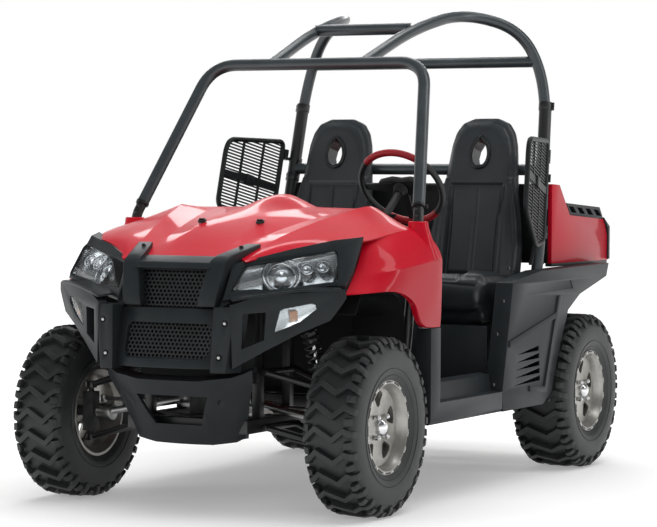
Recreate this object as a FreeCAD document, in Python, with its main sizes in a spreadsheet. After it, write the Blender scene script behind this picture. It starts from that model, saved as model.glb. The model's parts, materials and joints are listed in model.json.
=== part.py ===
import FreeCAD, Part
import math
import os
import Sketcher

# A side by side utility vehicle: two seats under a roll cage, a tipping cargo bed, four-wheel drive.
# +Z is up, the nose points along -Y, +X is the driver's left, and the origin is on the floor
# midway between the axles. All sizes are millimetres, and all angles are degrees.

doc = FreeCAD.newDocument("side_by_side")
sheet = doc.addObject("Spreadsheet::Sheet", "sizes")

SIZES = {
    # Stance
    "wheelbase": 1930,
    "front_track": 1240,
    "rear_track": 1225,
    "panel": 6,
    "seat_gap": 0.3,
    "running_fit": 0.08,
    "overrun": 20,
    # Tyre and rim
    "tyre_radius": 330,
    "front_tyre_width": 215,
    "rear_tyre_width": 262,
    "tread_shoulder": 27,
    "lug_height": 18,
    "lug_width": 22,
    "tyre_wall": 13,
    "bead_radius": 160,
    "flange_radius": 172,
    "flange_width": 6,
    "front_rim_width": 176,
    "rear_rim_width": 222,
    "barrel_wall": 9,
    "barrel_radius": 150,
    "disc_thickness": 14,
    "disc_inset": 42,
    "hub_radius": 46,
    "hub_length": 50,
    "hub_cap_radius": 31,
    "hub_cap_length": 24,
    "window_inner_radius": 62,
    "window_outer_radius": 130,
    "window_inner_width": 30,
    "window_outer_width": 82,
    "spindle_radius": 20,
    # Suspension and steering
    "kingpin_offset": 50,
    "kingpin_radius": 10,
    "upright_height": 150,
    "upright_depth": 50,
    "upright_thickness": 44,
    "eye_radius": 22,
    "eye_height": 24,
    "eye_gap": 14,
    "arm_radius": 11,
    "arm_half_spread": 115,
    "lower_arm_z": 315,
    "upper_arm_z": 520,
    "shock_radius": 30,
    "shock_foot_inset": 140,
    "shock_top_inset": 225,
    "shock_top_z": 785,
    "shock_rod_radius": 10,
    "shock_eye_radius": 17,
    "shock_eye_half_length": 20,
    "shock_pin_radius": 7,
    "shock_pin_reach": 30,
    "pivot_overhang": 16,
    "steering_arm_length": 88,
    "steering_arm_height": 14,
    "steering_arm_drop": 6,
    "tie_rod_radius": 8,
    "tie_rod_eye_radius": 14,
    "tie_rod_z": 372,
    "rack_radius": 24,
    "rack_half_length": 190,
    # Drive line
    "case_half_width": 95,
    "case_depth": 120,
    "case_bottom": 252,
    "case_height": 185,
    "output_z": 398,
    "shaft_radius": 13,
    "boot_radius": 32,
    "boot_length": 60,
    "shaft_gap": 18,
    "prop_shaft_z": 330,
    "engine_half_width": 170,
    "engine_length": 440,
    "engine_setback": 165,
    "engine_top": 620,
    "muffler_radius": 64,
    "muffler_half_length": 198,
    "muffler_y": 1160,
    "muffler_z": 560,
    "exhaust_radius": 19,
    # Frame
    "rail_bottom": 300,
    "rail_size": 50,
    "rail_x": 230,
    "rail_front_reach": 239,
    "rail_rear_reach": 275,
    "cross_size": 45,
    "outrigger_half_width": 596,
    "tower_size": 32,
    "tower_top": 800,
    "bed_rest_top": 879,
    "receiver_size": 64,
    "receiver_wall": 7,
    "receiver_length": 110,
    "receiver_pin_setback": 45,
    "receiver_pin_radius": 8,
    # Cab tub
    "floor_front": -520,
    "floor_thickness": 6,
    "toe_board_front": -596,
    "toe_board_top": 655,
    "firewall_top": 960,
    "firewall_half_width": 530,
    "box_half_width": 530,
    "box_front": 160,
    "box_rear": 600,
    "box_top": 640,
    "dash_half_width": 575,
    "dash_bottom": 870,
    "dash_height": 165,
    "dash_depth": 250,
    # Lower side panels
    "side_x": 700,
    "sill_inner_x": 597,
    "sill_bottom": 305,
    "sill_height": 155,
    "sill_front": -590,
    "seam_y": 83,
    "post_rear": -505,
    "post_thickness": 60,
    "quarter_length": 1154,
    "quarter_height": 567,
    "quarter_depth": 75,
    "rib_height": 8,
    # Nose and fenders
    "fender_front": -1105,
    "fender_rear": -515,
    "fender_bottom": 671,
    "fender_height": 400,
    "fender_inner_x": 570,
    "boss_radius": 40,
    "boss_height": 60,
    "hood_front": -1225,
    "hood_rear": -420,
    "hood_half_width": 600,
    "hood_base": 880,
    "hood_rise": 300,
    "lamp_length": 359,
    "lamp_height": 118,
    "lamp_depth": 70,
    "lamp_yaw": 30.6,
    "lamp_tilt": 30,
    "lamp_inner_x": 238,
    "lamp_inner_y": -1290,
    "lamp_inner_z": 823,
    "bumper_front": -1393,
    "bumper_half_width": 298,
    "bumper_bottom": 540,
    "bumper_height": 235,
    "bumper_depth": 40,
    "bumper_run": 56,
    "bumper_lean": 14.4,
    "wing_length": 381,
    "wing_yaw": 37.3,
    "wing_thickness": 26,
    "wing_height": 272,
    "pillar_front": -1340,
    "pillar_bottom": 776,
    "pillar_run": 226,
    "pillar_rise": 212,
    "pillar_outer_x": 205,
    "pillar_width": 58,
    "upper_grille_y": -1312,
    "upper_grille_foot": 17.3,
    "upper_grille_height": 112,
    "upper_grille_lean": 16,
    "liner_bottom": 420,
    "liner_height": 400,
    "liner_length": 508.7,
    "liner_outer_x": 590,
    "liner_width": 222,
    "lower_bumper_half_width": 306,
    "lower_bumper_height": 286,
    "lower_bumper_bottom": 262,
    "lower_bumper_bottom_y": -1190,
    "lower_bumper_lean": 21,
    "lower_bumper_thickness": 24,
    "grille_thickness": 5,
    "hole_pitch": 28,
    "hole_radius": 11,
    "radiator_half_width": 246,
    "radiator_height": 320,
    "radiator_depth": 36,
    # Seats
    "seat_x": 345,
    "cushion_width": 440,
    "cushion_front": 150,
    "cushion_length": 400,
    "cushion_height": 209,
    "back_width": 420,
    "back_height": 800,
    "back_thickness": 56,
    "back_foot_y": 530,
    "back_foot_z": 715,
    "back_lean": 11.3,
    # Roll cage
    "cage_radius": 24,
    "cage_bend": 120,
    "hoop_x": 627,
    "hoop_y": -560,
    "hoop_z": 1071,
    "hoop_top_x": 481,
    "hoop_top_y": -201,
    "hoop_top_z": 1691,
    "hoop_foot_x": 562,
    "front_leg_lift": 2.4,
    "rear_leg_lift": 4.4,
    "post_x": 617,
    "post_y": 640,
    "post_z": 867,
    "post_top_x": 579,
    "post_top_y": 800,
    "post_top_z": 1637,
    "shoulder_x": 478,
    "shoulder_y": 768,
    "shoulder_z": 1872,
    "peak_x": 262,
    "peak_y": 625,
    "peak_z": 1946,
    "joint_x": 228,
    "joint_y": 216,
    "joint_z": 1851,
    "reach_x": 207,
    "seat_bar_z": 1276,
    # Cargo bed
    "bed_half_width": 632,
    "bed_skin": 18,
    "bed_wall": 8,
    "bed_bottom": 880,
    "bed_front": 746,
    "bed_rear": 1401,
    "bed_side_height": 336,
    "bed_rail_width": 30,
    "bed_floor_setback": 36,
    "bed_wall_height": 182,
    "bed_eye_length": 32,
    "tailgate_gap": 32,
    "tailgate_thickness": 30,
    "tailgate_height": 190,
    "tailgate_pin_depth": 20,
    "gate_y": 1384,
    "gate_z": 903,
    "tail_lamp_depth": 12,
    "tail_lamp_height": 60,
    "bed_pivot_z": 856,
    "bed_pin_radius": 8,
    "bed_eye_radius": 18,
    # Side guards
    "gate_pin_radius": 6,
    "gate_eye_radius": 12,
    "gate_eye_length": 30,
    "gate_tube_radius": 9,
    "gate_reach": 400,
    "gate_height": 440,
    "gate_base_z": 960,
    "gate_offset": 48,
    "gate_mesh_thickness": 4,
    "gate_bend": 30,
    "clamp_height": 16,
    # Steering wheel
    "wheel_rim_radius": 168,
    "wheel_grip_radius": 14,
    "wheel_x": 340,
    "wheel_y": -110,
    "wheel_z": 1200,
    "wheel_tilt": 52,
    "wheel_hub_radius": 42,
    "wheel_hub_length": 36,
    "wheel_spoke_radius": 11,
    "column_radius": 26,
    "column_length": 340,
}


class Size:
    """A length with its spreadsheet formula, so that code and expressions share one value."""

    def __init__(self, value, text):
        self.value = float(value)
        self.text = text

    def __float__(self):
        return self.value

    def __add__(self, other):
        return Size(self.value + float(other), f"({self.text} + {formula(other)})")

    def __radd__(self, other):
        return Size(float(other) + self.value, f"({formula(other)} + {self.text})")

    def __sub__(self, other):
        return Size(self.value - float(other), f"({self.text} - {formula(other)})")

    def __rsub__(self, other):
        return Size(float(other) - self.value, f"({formula(other)} - {self.text})")

    def __mul__(self, other):
        return Size(self.value * float(other), f"({self.text} * {formula(other)})")

    __rmul__ = __mul__

    def __truediv__(self, other):
        return Size(self.value / float(other), f"({self.text} / {formula(other)})")

    def __neg__(self):
        return Size(-self.value, f"(0 - {self.text})")


def formula(value):
    return value.text if isinstance(value, Size) else repr(float(value))


class Names:
    """The sizes by name: s.wheelbase is the cell of that alias."""


def fill_sheet():
    named = Names()
    for row, (alias, value) in enumerate(SIZES.items(), start=1):
        sheet.set(f"A{row}", alias)
        sheet.set(f"B{row}", str(value))
        sheet.setAlias(f"B{row}", alias)
        setattr(named, alias, Size(value, f"sizes.{alias}"))
    doc.recompute()
    return named


s = fill_sheet()
NODES = []
BEND_ROOM_SHARE = 0.48
SIDES = {"left": 1, "right": -1}
X_AXIS = FreeCAD.Vector(1, 0, 0)
Y_AXIS = FreeCAD.Vector(0, 1, 0)
Z_AXIS = FreeCAD.Vector(0, 0, 1)

# Places along the vehicle that follow the axles
RAIL_FRONT = -s.wheelbase / 2 - s.rail_front_reach
RAIL_REAR = s.wheelbase / 2 + s.rail_rear_reach
ENGINE_REAR = s.wheelbase / 2 - s.engine_setback
ENGINE_FRONT = ENGINE_REAR - s.engine_length
BED_PIVOT_Y = RAIL_REAR - s.tower_size / 2
TAILGATE_HALF_WIDTH = s.bed_half_width - s.tailgate_gap


# Small helpers

def bind(thing, prop, size):
    """Ties one property to the sheet; a bare zero stays the property's default."""
    if isinstance(size, Size):
        thing.setExpression(prop, size.text)


def vector(point):
    return FreeCAD.Vector(*(float(value) for value in point))


def put(thing, point, rotation=None):
    """Places an object, with its position tied to the sheet."""
    thing.Placement = FreeCAD.Placement(vector(point), rotation or FreeCAD.Rotation())
    for axis, value in zip("xyz", point):
        bind(thing, f"Placement.Base.{axis}", value)


def mirror(side, point):
    return (point[0] * side, *point[1:])


def node(label, thing):
    """Registers a finished sub-part under the label that names its file."""
    thing.Label = label
    NODES.append(thing)
    return thing


def box(name, low, size):
    block = doc.addObject("Part::Box", name)
    for prop, length in zip(("Length", "Width", "Height"), size):
        bind(block, prop, length)
    put(block, low)
    return block


def span_box(name, x, y, z):
    """A box from three (low, high) pairs."""
    return box(name, (x[0], y[0], z[0]), (x[1] - x[0], y[1] - y[0], z[1] - z[0]))


def rod(name, start, axis, length, radius):
    """A cylinder that starts at a point and runs along one axis."""
    cylinder = doc.addObject("Part::Cylinder", name)
    bind(cylinder, "Radius", radius)
    bind(cylinder, "Height", length)
    put(cylinder, start, FreeCAD.Rotation(Z_AXIS, axis))
    return cylinder


def strut(name, start, end, radius):
    """A round bar between two points."""
    reach = vector(end) - vector(start)
    cylinder = doc.addObject("Part::Cylinder", name)
    bind(cylinder, "Radius", radius)
    squares = " + ".join(f"({formula(b)} - {formula(a)})^2" for a, b in zip(start, end))
    cylinder.setExpression("Height", f"sqrt({squares})")
    put(cylinder, start, FreeCAD.Rotation(Z_AXIS, reach))
    return cylinder


def fuse(name, things):
    if len(things) < 2:
        return things[0]
    joined = doc.addObject("Part::MultiFuse", name)
    joined.Shapes = things
    return joined


def cut(name, base, tools):
    result = doc.addObject("Part::Cut", name)
    result.Base = base
    result.Tool = fuse(name + "_tools", tools)
    return result


def group(name, things):
    """Like pieces that don't touch, kept together as one sub-part."""
    pieces = doc.addObject("Part::Compound", name)
    pieces.Links = things
    return pieces


def outline(shares, low, size):
    """Scales a table of shares to a corner and a size."""
    return [(low[0] + size[0] * a, low[1] + size[1] * b) for a, b in shares]


def new_body(name):
    return doc.addObject("PartDesign::Body", name)


def draw(sketch, points):
    """A closed outline whose corners are tied to the sheet."""
    corners = [vector((a, b, 0)) for a, b in points]
    count = len(corners)
    for index, corner in enumerate(corners):
        sketch.addGeometry(Part.LineSegment(corner, corners[(index + 1) % count]), False)
    for index in range(count):
        sketch.addConstraint(Sketcher.Constraint("Coincident", index, 2, (index + 1) % count, 1))
    for index, (a, b) in enumerate(points):
        for kind, value, axis in (("DistanceX", a, -2), ("DistanceY", b, -1)):
            if isinstance(value, Size):
                rule = Sketcher.Constraint(kind, -1, 1, index, 1, float(value))
                sketch.setExpression(f"Constraints[{sketch.addConstraint(rule)}]", value.text)
            else:
                sketch.addConstraint(Sketcher.Constraint("PointOnObject", index, 1, axis))


def sketch_on(body, name, role, points, offset=0):
    """A closed outline on one of the body's own planes, set off along that plane's normal."""
    plane = next(item for item in body.Origin.OriginFeatures if item.Role == role)
    sketch = body.newObject("Sketcher::SketchObject", name)
    sketch.AttachmentSupport = [(plane, "")]
    sketch.MapMode = "FlatFace"
    bind(sketch, "AttachmentOffset.Base.z", offset)
    draw(sketch, points)
    return sketch


def pad(body, name, sketch, length, midplane=False):
    feature = body.newObject("PartDesign::Pad", name)
    feature.Profile = sketch
    feature.Midplane = midplane
    bind(feature, "Length", length)
    return feature


def pocket_all(body, name, sketch):
    feature = body.newObject("PartDesign::Pocket", name)
    feature.Profile = sketch
    feature.Type = "ThroughAll"
    feature.Midplane = True
    return feature


def slab(name, role, points, start, thickness):
    """A body padded from one outline; start is measured along the plane's normal."""
    body = new_body(name)
    pad(body, name + "_pad", sketch_on(body, name + "_outline", role, points, start), thickness)
    return body


def hollow(body, reach):
    """Opens the face that reaches furthest and leaves a wall as thick as the panels."""
    doc.recompute()
    base = body.Tip
    faces = base.Shape.Faces
    index = max(range(len(faces)), key=lambda item: reach(faces[item]))
    feature = body.newObject("PartDesign::Thickness", body.Name + "_wall")
    feature.Base = (base, [f"Face{index + 1}"])
    feature.Reversed = True
    bind(feature, "Value", s.panel)
    body.Tip = feature


def loft(name, role, sections):
    """A ruled body through outlines at set distances along the plane's normal."""
    body = new_body(name)
    sketches = [
        sketch_on(body, f"{name}_section_{index}", role, points, offset)
        for index, (offset, points) in enumerate(sections)
    ]
    feature = body.newObject("PartDesign::AdditiveLoft", name + "_loft")
    feature.Profile = sketches[0]
    feature.Sections = sketches[1:]
    feature.Ruled = True
    return body


def rounded_path(points, bend):
    """Straight runs joined by tangent arcs, each arc no larger than its runs allow."""
    corners = [vector(point) for point in points]
    edges = []
    start = corners[0]
    for before, corner, after in zip(corners, corners[1:], corners[2:]):
        into = (corner - before).normalize()
        out = (after - corner).normalize()
        half_turn = into.getAngle(out) / 2
        room = min((corner - before).Length, (after - corner).Length) * BEND_ROOM_SHARE
        setback = min(float(bend) * math.tan(half_turn), room)
        first = corner - into * setback
        last = corner + out * setback
        radius = setback / math.tan(half_turn)
        centre = corner + (out - into).normalize() * (radius / math.cos(half_turn))
        middle = centre + (corner - centre).normalize() * radius
        edges.append(Part.LineSegment(start, first).toShape())
        edges.append(Part.Arc(first, middle, last).toShape())
        start = last
    edges.append(Part.LineSegment(start, corners[-1]).toShape())
    return edges


def tube(name, points, radius, bend):
    """A round bar bent along a path."""
    path = doc.addObject("Part::Feature", name + "_path")
    path.Shape = Part.Wire(rounded_path(points, bend))
    ring = doc.addObject("Part::Circle", name + "_ring")
    bind(ring, "Radius", radius)
    put(ring, points[0], FreeCAD.Rotation(Z_AXIS, vector(points[1]) - vector(points[0])))
    sweep = doc.addObject("Part::Sweep", name)
    sweep.Sections = [ring]
    sweep.Spine = (path, [f"Edge{index}" for index in range(1, len(path.Shape.Edges) + 1)])
    sweep.Solid = True
    sweep.Frenet = False
    return sweep


def pair(name, make):
    """The same piece on both sides, as one sub-part."""
    return group(name, [make(f"{name}_{word}", side) for word, side in SIDES.items()])


# Wheels: a lugged tyre on a cast rim

PITCHES = 24
SPOKES = 5
SIDEWALL_SHARES = [(0.98, 0.32), (0.97, 0.8)]
ZIGZAG_SHARES = [(-1.0, -0.16), (-0.36, 0.2), (0.3, -0.2), (1.0, 0.16)]
LUG_REACH_SHARE = 0.8
LEG_START_SHARE = 0.05
COIL_SHARES = (0.14, 0.84)
DASH_SHARES = [(0, 0), (0, 0.6), (0.35, 0.95), (0.7, 1.0), (0.94, 0.9), (1.0, 0.55), (0.85, 0.1),
               (0.6, 0)]
QUARTER_SHARES = [
    # The black panel behind the door opening: front edge, top, tail and wheel arch
    (0.007, 0.0), (0.366, 0.0), (0.443, 0.075), (0.526, 0.43), (0.597, 0.67), (0.71, 0.78),
    (0.978, 0.9), (1.0, 1.0), (0.346, 0.976), (0.094, 0.915), (0.084, 0.9), (0.036, 0.48),
    (0.0, 0.14),
]
RIDGE_SHARES = [
    # The bright ridge that runs down beside the wheel arch and turns forward along the foot
    (0.491, 0.785), (0.366, 0.129), (0.231, 0.153), (0.231, 0.111), (0.386, 0.079), (0.521, 0.785),
]
RIB_SHARES = [(0.049, 0.45), (0.049, 0.492), (0.47, 0.662), (0.46, 0.62)]
RECESS_SHARES = [(0.22, 0.811), (0.64, 0.829), (0.62, 0.889), (0.22, 0.889)]
SILL_SHARES = [
    # Across the sill: outer face, the ledge, the riser to the floor
    (0, 0), (0.9, 0), (1.0, 0.08), (1.0, 0.52), (0.55, 0.54), (0.42, 0.95), (0.02, 1.0), (0, 0.98),
]


def wheel_places():
    """Each wheel's name, side and size, with the middle of its hub."""
    for end, along, track, width, rim_width in (
            ("front", -s.wheelbase / 2, s.front_track, s.front_tyre_width, s.front_rim_width),
            ("rear", s.wheelbase / 2, s.rear_track, s.rear_tyre_width, s.rear_rim_width)):
        for word, side in SIDES.items():
            yield f"{end}_{word}", side, (side * track / 2, along, s.tyre_radius), width, rim_width


def ring_point(x, radius, angle):
    return FreeCAD.Vector(x, radius * math.sin(angle), radius * math.cos(angle))


def carcass(width, rim_width):
    """The casing as a ring of flat-sided segments, hollow and open at the beads."""
    half = float(width) / 2
    flat = math.cos(math.pi / PITCHES)
    bead_x = float(rim_width / 2 - s.flange_width - s.seat_gap)
    bead = float(s.bead_radius + s.seat_gap) / flat
    crown = float(s.tyre_radius - s.lug_height)
    wall = float(s.tyre_wall)
    tread = half - float(s.tread_shoulder)
    outside = [(bead_x, bead), (bead_x, float(s.flange_radius + s.seat_gap) / flat)]
    outside += [(half * a, bead + (crown - bead) * b) for a, b in SIDEWALL_SHARES]
    outside += [(tread, crown)]
    inside = [(bead_x - wall, bead), (tread, crown - wall)]
    profile = outside + [(-x, r) for x, r in outside[::-1]]
    profile += [(-x, r) for x, r in inside] + inside[::-1]
    step = 2 * math.pi / PITCHES
    faces = []
    for turn in range(PITCHES):
        low, high = (turn - 0.5) * step, (turn + 0.5) * step
        for (xa, ra), (xb, rb) in zip(profile, profile[1:] + profile[:1]):
            corners = [ring_point(xa, ra, low), ring_point(xb, rb, low),
                       ring_point(xb, rb, high), ring_point(xa, ra, high)]
            faces.append(Part.Face(Part.makePolygon(corners + corners[:1])))
    return Part.makeSolid(Part.makeShell(faces))


def zigzag_lug(width):
    """One bar of the tread at the top of the tyre, bent three times across it."""
    half = float(width / 2 - s.tread_shoulder * LUG_REACH_SHARE)
    pitch = 2 * math.pi * float(s.tyre_radius) / PITCHES
    base = float(s.tyre_radius - s.lug_height) - float(s.tyre_wall) / 2
    line = [(half * a, pitch * b) for a, b in ZIGZAG_SHARES]
    edge = float(s.lug_width) / 2
    upper = [FreeCAD.Vector(x, y + edge, base) for x, y in line]
    lower = [FreeCAD.Vector(x, y - edge, base) for x, y in line]
    corners = upper + lower[::-1]
    face = Part.Face(Part.makePolygon(corners + corners[:1]))
    return face.extrude(Z_AXIS * (float(s.tyre_radius) - base))


def tyre_shape(width, rim_width):
    lug = zigzag_lug(width)
    lugs = []
    for turn in range(PITCHES):
        copy = lug.copy()
        copy.rotate(FreeCAD.Vector(), X_AXIS, turn * 360 / PITCHES)
        lugs.append(copy)
    return carcass(width, rim_width).fuse(lugs)


def rim_outline(rim_width):
    """Half the rim's section: across the wheel, then out from its axle."""
    edge = rim_width / 2
    bead_edge = edge - s.flange_width
    seat_end = bead_edge - s.barrel_wall * 3
    well = seat_end - s.barrel_wall
    inner = s.barrel_radius - s.barrel_wall
    face = edge - s.disc_inset
    back = face - s.disc_thickness
    bore = s.spindle_radius + s.running_fit
    return [
        (edge, inner), (edge, s.flange_radius), (bead_edge, s.flange_radius),
        (bead_edge, s.bead_radius), (seat_end, s.bead_radius), (well, s.barrel_radius),
        (-well, s.barrel_radius), (-seat_end, s.bead_radius), (-bead_edge, s.bead_radius),
        (-bead_edge, s.flange_radius), (-edge, s.flange_radius), (-edge, inner),
        (back, inner), (back, s.hub_radius), (back - s.hub_length, s.hub_radius),
        (back - s.hub_length, bore), (face, bore), (face, 0),
        (face + s.hub_cap_length, 0), (face + s.hub_cap_length, s.hub_cap_radius),
        (face, s.hub_cap_radius), (face, inner),
    ]


def origin_axis(body, role):
    return (next(item for item in body.Origin.OriginFeatures if item.Role == role), [""])


def make_rim(name, rim_width):
    body = new_body(name)
    turned = body.newObject("PartDesign::Revolution", name + "_turned")
    turned.Profile = sketch_on(body, name + "_section", "XY_Plane", rim_outline(rim_width))
    turned.ReferenceAxis = origin_axis(body, "X_Axis")
    turned.Angle = 360
    low, high = s.window_inner_width / 2, s.window_outer_width / 2
    window = [(-low, s.window_inner_radius), (low, s.window_inner_radius),
              (high, s.window_outer_radius), (-high, s.window_outer_radius)]
    opening = pocket_all(body, name + "_window", sketch_on(body, name + "_gap", "YZ_Plane", window))
    windows = body.newObject("PartDesign::PolarPattern", name + "_windows")
    windows.Originals = [opening]
    windows.Axis = origin_axis(body, "X_Axis")
    windows.Angle = 360
    windows.Occurrences = SPOKES
    body.Tip = windows
    return body


def make_wheels():
    shapes = {}
    for name, side, middle, width, rim_width in wheel_places():
        facing = FreeCAD.Rotation(Z_AXIS, 0 if side > 0 else 180)
        if float(width) not in shapes:
            shapes[float(width)] = tyre_shape(width, rim_width)
        tyre = doc.addObject("Part::Feature", name + "_tyre")
        tyre.Shape = shapes[float(width)]
        put(tyre, middle, facing)
        node(name + "_tyre", tyre)
        rim = make_rim(name + "_rim", rim_width)
        put(rim, middle, facing)
        node(name + "_rim", rim)


# Suspension: uprights, A-arms, coil-over shocks and the steering

def kingpin(side, end):
    """Where an upright's vertical axis stands, halfway up the wheel."""
    if end == "front":
        return (side * (s.front_track / 2 - s.kingpin_offset), -s.wheelbase / 2, s.tyre_radius)
    return (side * (s.rear_track / 2 - s.kingpin_offset), s.wheelbase / 2, s.tyre_radius)


def shock_x(end, inset):
    """How far from the middle a shock's eye stands, measured in from the kingpin."""
    track = s.front_track if end == "front" else s.rear_track
    return track / 2 - s.kingpin_offset - inset


def wheel_rim_face(end):
    """How far out the blind end of the wheel's bore lies."""
    track, width = ((s.front_track, s.front_rim_width) if end == "front"
                    else (s.rear_track, s.rear_rim_width))
    return track / 2 + width / 2 - s.disc_inset


def make_upright(name, side, end):
    """A block with its spindle and a pin above and below for the arms' eyes."""
    x, y, z = kingpin(side, end)
    half = s.upright_height / 2
    block = box(name + "_block", (x - s.upright_thickness / 2, y - s.upright_depth / 2, z - half),
                (s.upright_thickness, s.upright_depth, s.upright_height))
    pin_reach = half + s.eye_gap + s.eye_height
    pin = rod(name + "_pin", (x, y, z - pin_reach), Z_AXIS, pin_reach * 2, s.kingpin_radius)
    start = side * x + s.upright_thickness / 2
    spindle = rod(name + "_spindle", (side * start, y, z), X_AXIS * side,
                  wheel_rim_face(end) - start - s.seat_gap, s.spindle_radius)
    parts = [block, pin, spindle]
    if end == "front":
        top = s.tie_rod_z - s.tie_rod_eye_radius - s.steering_arm_drop
        parts.append(box(name + "_arm",
                         (x - s.tie_rod_eye_radius, y, top - s.steering_arm_height),
                         (s.tie_rod_eye_radius * 2, s.steering_arm_length + s.tie_rod_eye_radius,
                          s.steering_arm_height)))
    return fuse(name, parts)


def arm_ends(side, end, level):
    """An arm's outer eye and its two inner pivots."""
    x, y, z = kingpin(side, end)
    eye_middle = s.upright_height / 2 + s.eye_gap + s.eye_height / 2
    eye_z = z + eye_middle if level == "upper" else z - eye_middle
    carrier = s.tower_size if level == "upper" else s.rail_size
    inner_x = s.rail_x + carrier / 2 + s.arm_radius + s.seat_gap
    inner_z = s.upper_arm_z if level == "upper" else s.lower_arm_z
    inner = [(side * inner_x, y + way * s.arm_half_spread, inner_z) for way in (1, -1)]
    return (x, y, eye_z), inner


def along(start, end, share):
    return tuple(a + (b - a) * share for a, b in zip(start, end))


def make_arm(name, side, end, level):
    """Two legs that meet in an eye round the upright's pin; the upper one carries the shock."""
    eye, inner = arm_ends(side, end, level)
    low = eye[2] - s.eye_height / 2
    ring = rod(name + "_eye", (eye[0], eye[1], low), Z_AXIS, s.eye_height, s.eye_radius)
    legs = [strut(f"{name}_leg_{index}", point, along(eye, point, LEG_START_SHARE), s.arm_radius)
            for index, point in enumerate(inner)]
    pivot = rod(name + "_pivot", (inner[1][0], inner[1][1] - s.pivot_overhang, inner[1][2]), Y_AXIS,
                (s.arm_half_spread + s.pivot_overhang) * 2, s.arm_radius)
    parts = [ring, pivot, *legs]
    if level == "upper":
        ends = [along(eye, point, shock_foot_share(side, end)) for point in inner]
        parts.append(strut(name + "_shock_bar", *ends, s.arm_radius))
    hole = rod(name + "_hole", (eye[0], eye[1], low - s.overrun), Z_AXIS,
               s.eye_height + s.overrun * 2, s.kingpin_radius + s.running_fit)
    return cut(name, fuse(name + "_frame", parts), [hole])


def shock_foot_share(side, end):
    """How far in along the upper arm the shock stands."""
    eye, inner = arm_ends(side, end, "upper")
    return (eye[0] - side * shock_x(end, s.shock_foot_inset)) / (eye[0] - inner[0][0])


def make_shock(name, side, end):
    """A coil-over shock from the upper arm to the tower: the coil's outside, its rod and two eyes."""
    eye, inner = arm_ends(side, end, "upper")
    bar = along(eye, inner[0], shock_foot_share(side, end))
    foot = (bar[0], eye[1], bar[2] + s.arm_radius + s.shock_eye_radius + s.seat_gap)
    top = (side * shock_x(end, s.shock_top_inset), eye[1], s.shock_top_z)
    coil = strut(name + "_coil", *(along(foot, top, share) for share in COIL_SHARES), s.shock_radius)
    shaft = strut(name + "_rod", foot, top, s.shock_rod_radius)
    eyes = [rod(f"{name}_eye_{index}", (point[0], point[1] - s.shock_eye_half_length, point[2]),
                Y_AXIS, s.shock_eye_half_length * 2, s.shock_eye_radius)
            for index, point in enumerate((foot, top))]
    pin_hole = rod(name + "_pin_hole", (top[0], top[1] - s.shock_pin_reach, top[2]), Y_AXIS,
                   s.shock_pin_reach * 2, s.shock_pin_radius + s.running_fit)
    return cut(name, fuse(name + "_body", [coil, shaft, *eyes]), [pin_hole])


def make_suspension():
    corners = [(f"{end}_{word}", side, end) for end in ("front", "rear")
               for word, side in SIDES.items()]
    arms = [make_arm(f"{name}_{level}_arm", side, end, level)
            for name, side, end in corners for level in ("lower", "upper")]
    node("suspension_arms", group("suspension_arms", arms))
    node("shocks", group("shocks", [make_shock(name + "_shock", side, end)
                                    for name, side, end in corners]))
    for word, side in SIDES.items():
        node(word + "_knuckle", make_upright(word + "_knuckle", side, "front"))
    node("rear_uprights", group("rear_uprights", [
        make_upright(f"rear_{word}_upright", side, "rear") for word, side in SIDES.items()]))


def make_steering():
    """A rack with one long rod whose eyes hang over the knuckles' steering arms."""
    y = -s.wheelbase / 2 + s.steering_arm_length
    end_x = s.front_track / 2 - s.kingpin_offset
    bar = rod("tie_rod_bar", (-end_x, y, s.tie_rod_z), X_AXIS, end_x * 2, s.tie_rod_radius)
    eyes = [rod(f"tie_rod_{word}_eye", (side * end_x, y, s.tie_rod_z - s.tie_rod_eye_radius), Z_AXIS,
                s.tie_rod_eye_radius * 2, s.tie_rod_eye_radius) for word, side in SIDES.items()]
    node("tie_rods", fuse("tie_rods", [bar, *eyes]))
    tunnel = rod("rack_tunnel", (-s.rail_x, y, s.tie_rod_z), X_AXIS, s.rail_x * 2,
                 s.tie_rod_radius + s.running_fit)
    case = rod("rack_case", (-s.rack_half_length, y, s.tie_rod_z), X_AXIS,
               s.rack_half_length * 2, s.rack_radius)
    near = s.rack_half_length - s.rack_radius
    far = s.rail_x - s.tower_size / 2
    behind = -s.wheelbase / 2 + s.arm_half_spread + s.tower_size / 2
    half = s.rack_radius / 2
    feet = [span_box(f"rack_{word}_foot", (near, far) if side > 0 else (-far, -near),
                     (y - half, behind), (s.tie_rod_z - half, s.tie_rod_z + half))
            for word, side in SIDES.items()]
    node("rack_housing", cut("rack_housing", fuse("rack_body", [case, *feet]), [tunnel]))


# Drive line: engine, front and rear gear cases, shafts and exhaust

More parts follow.
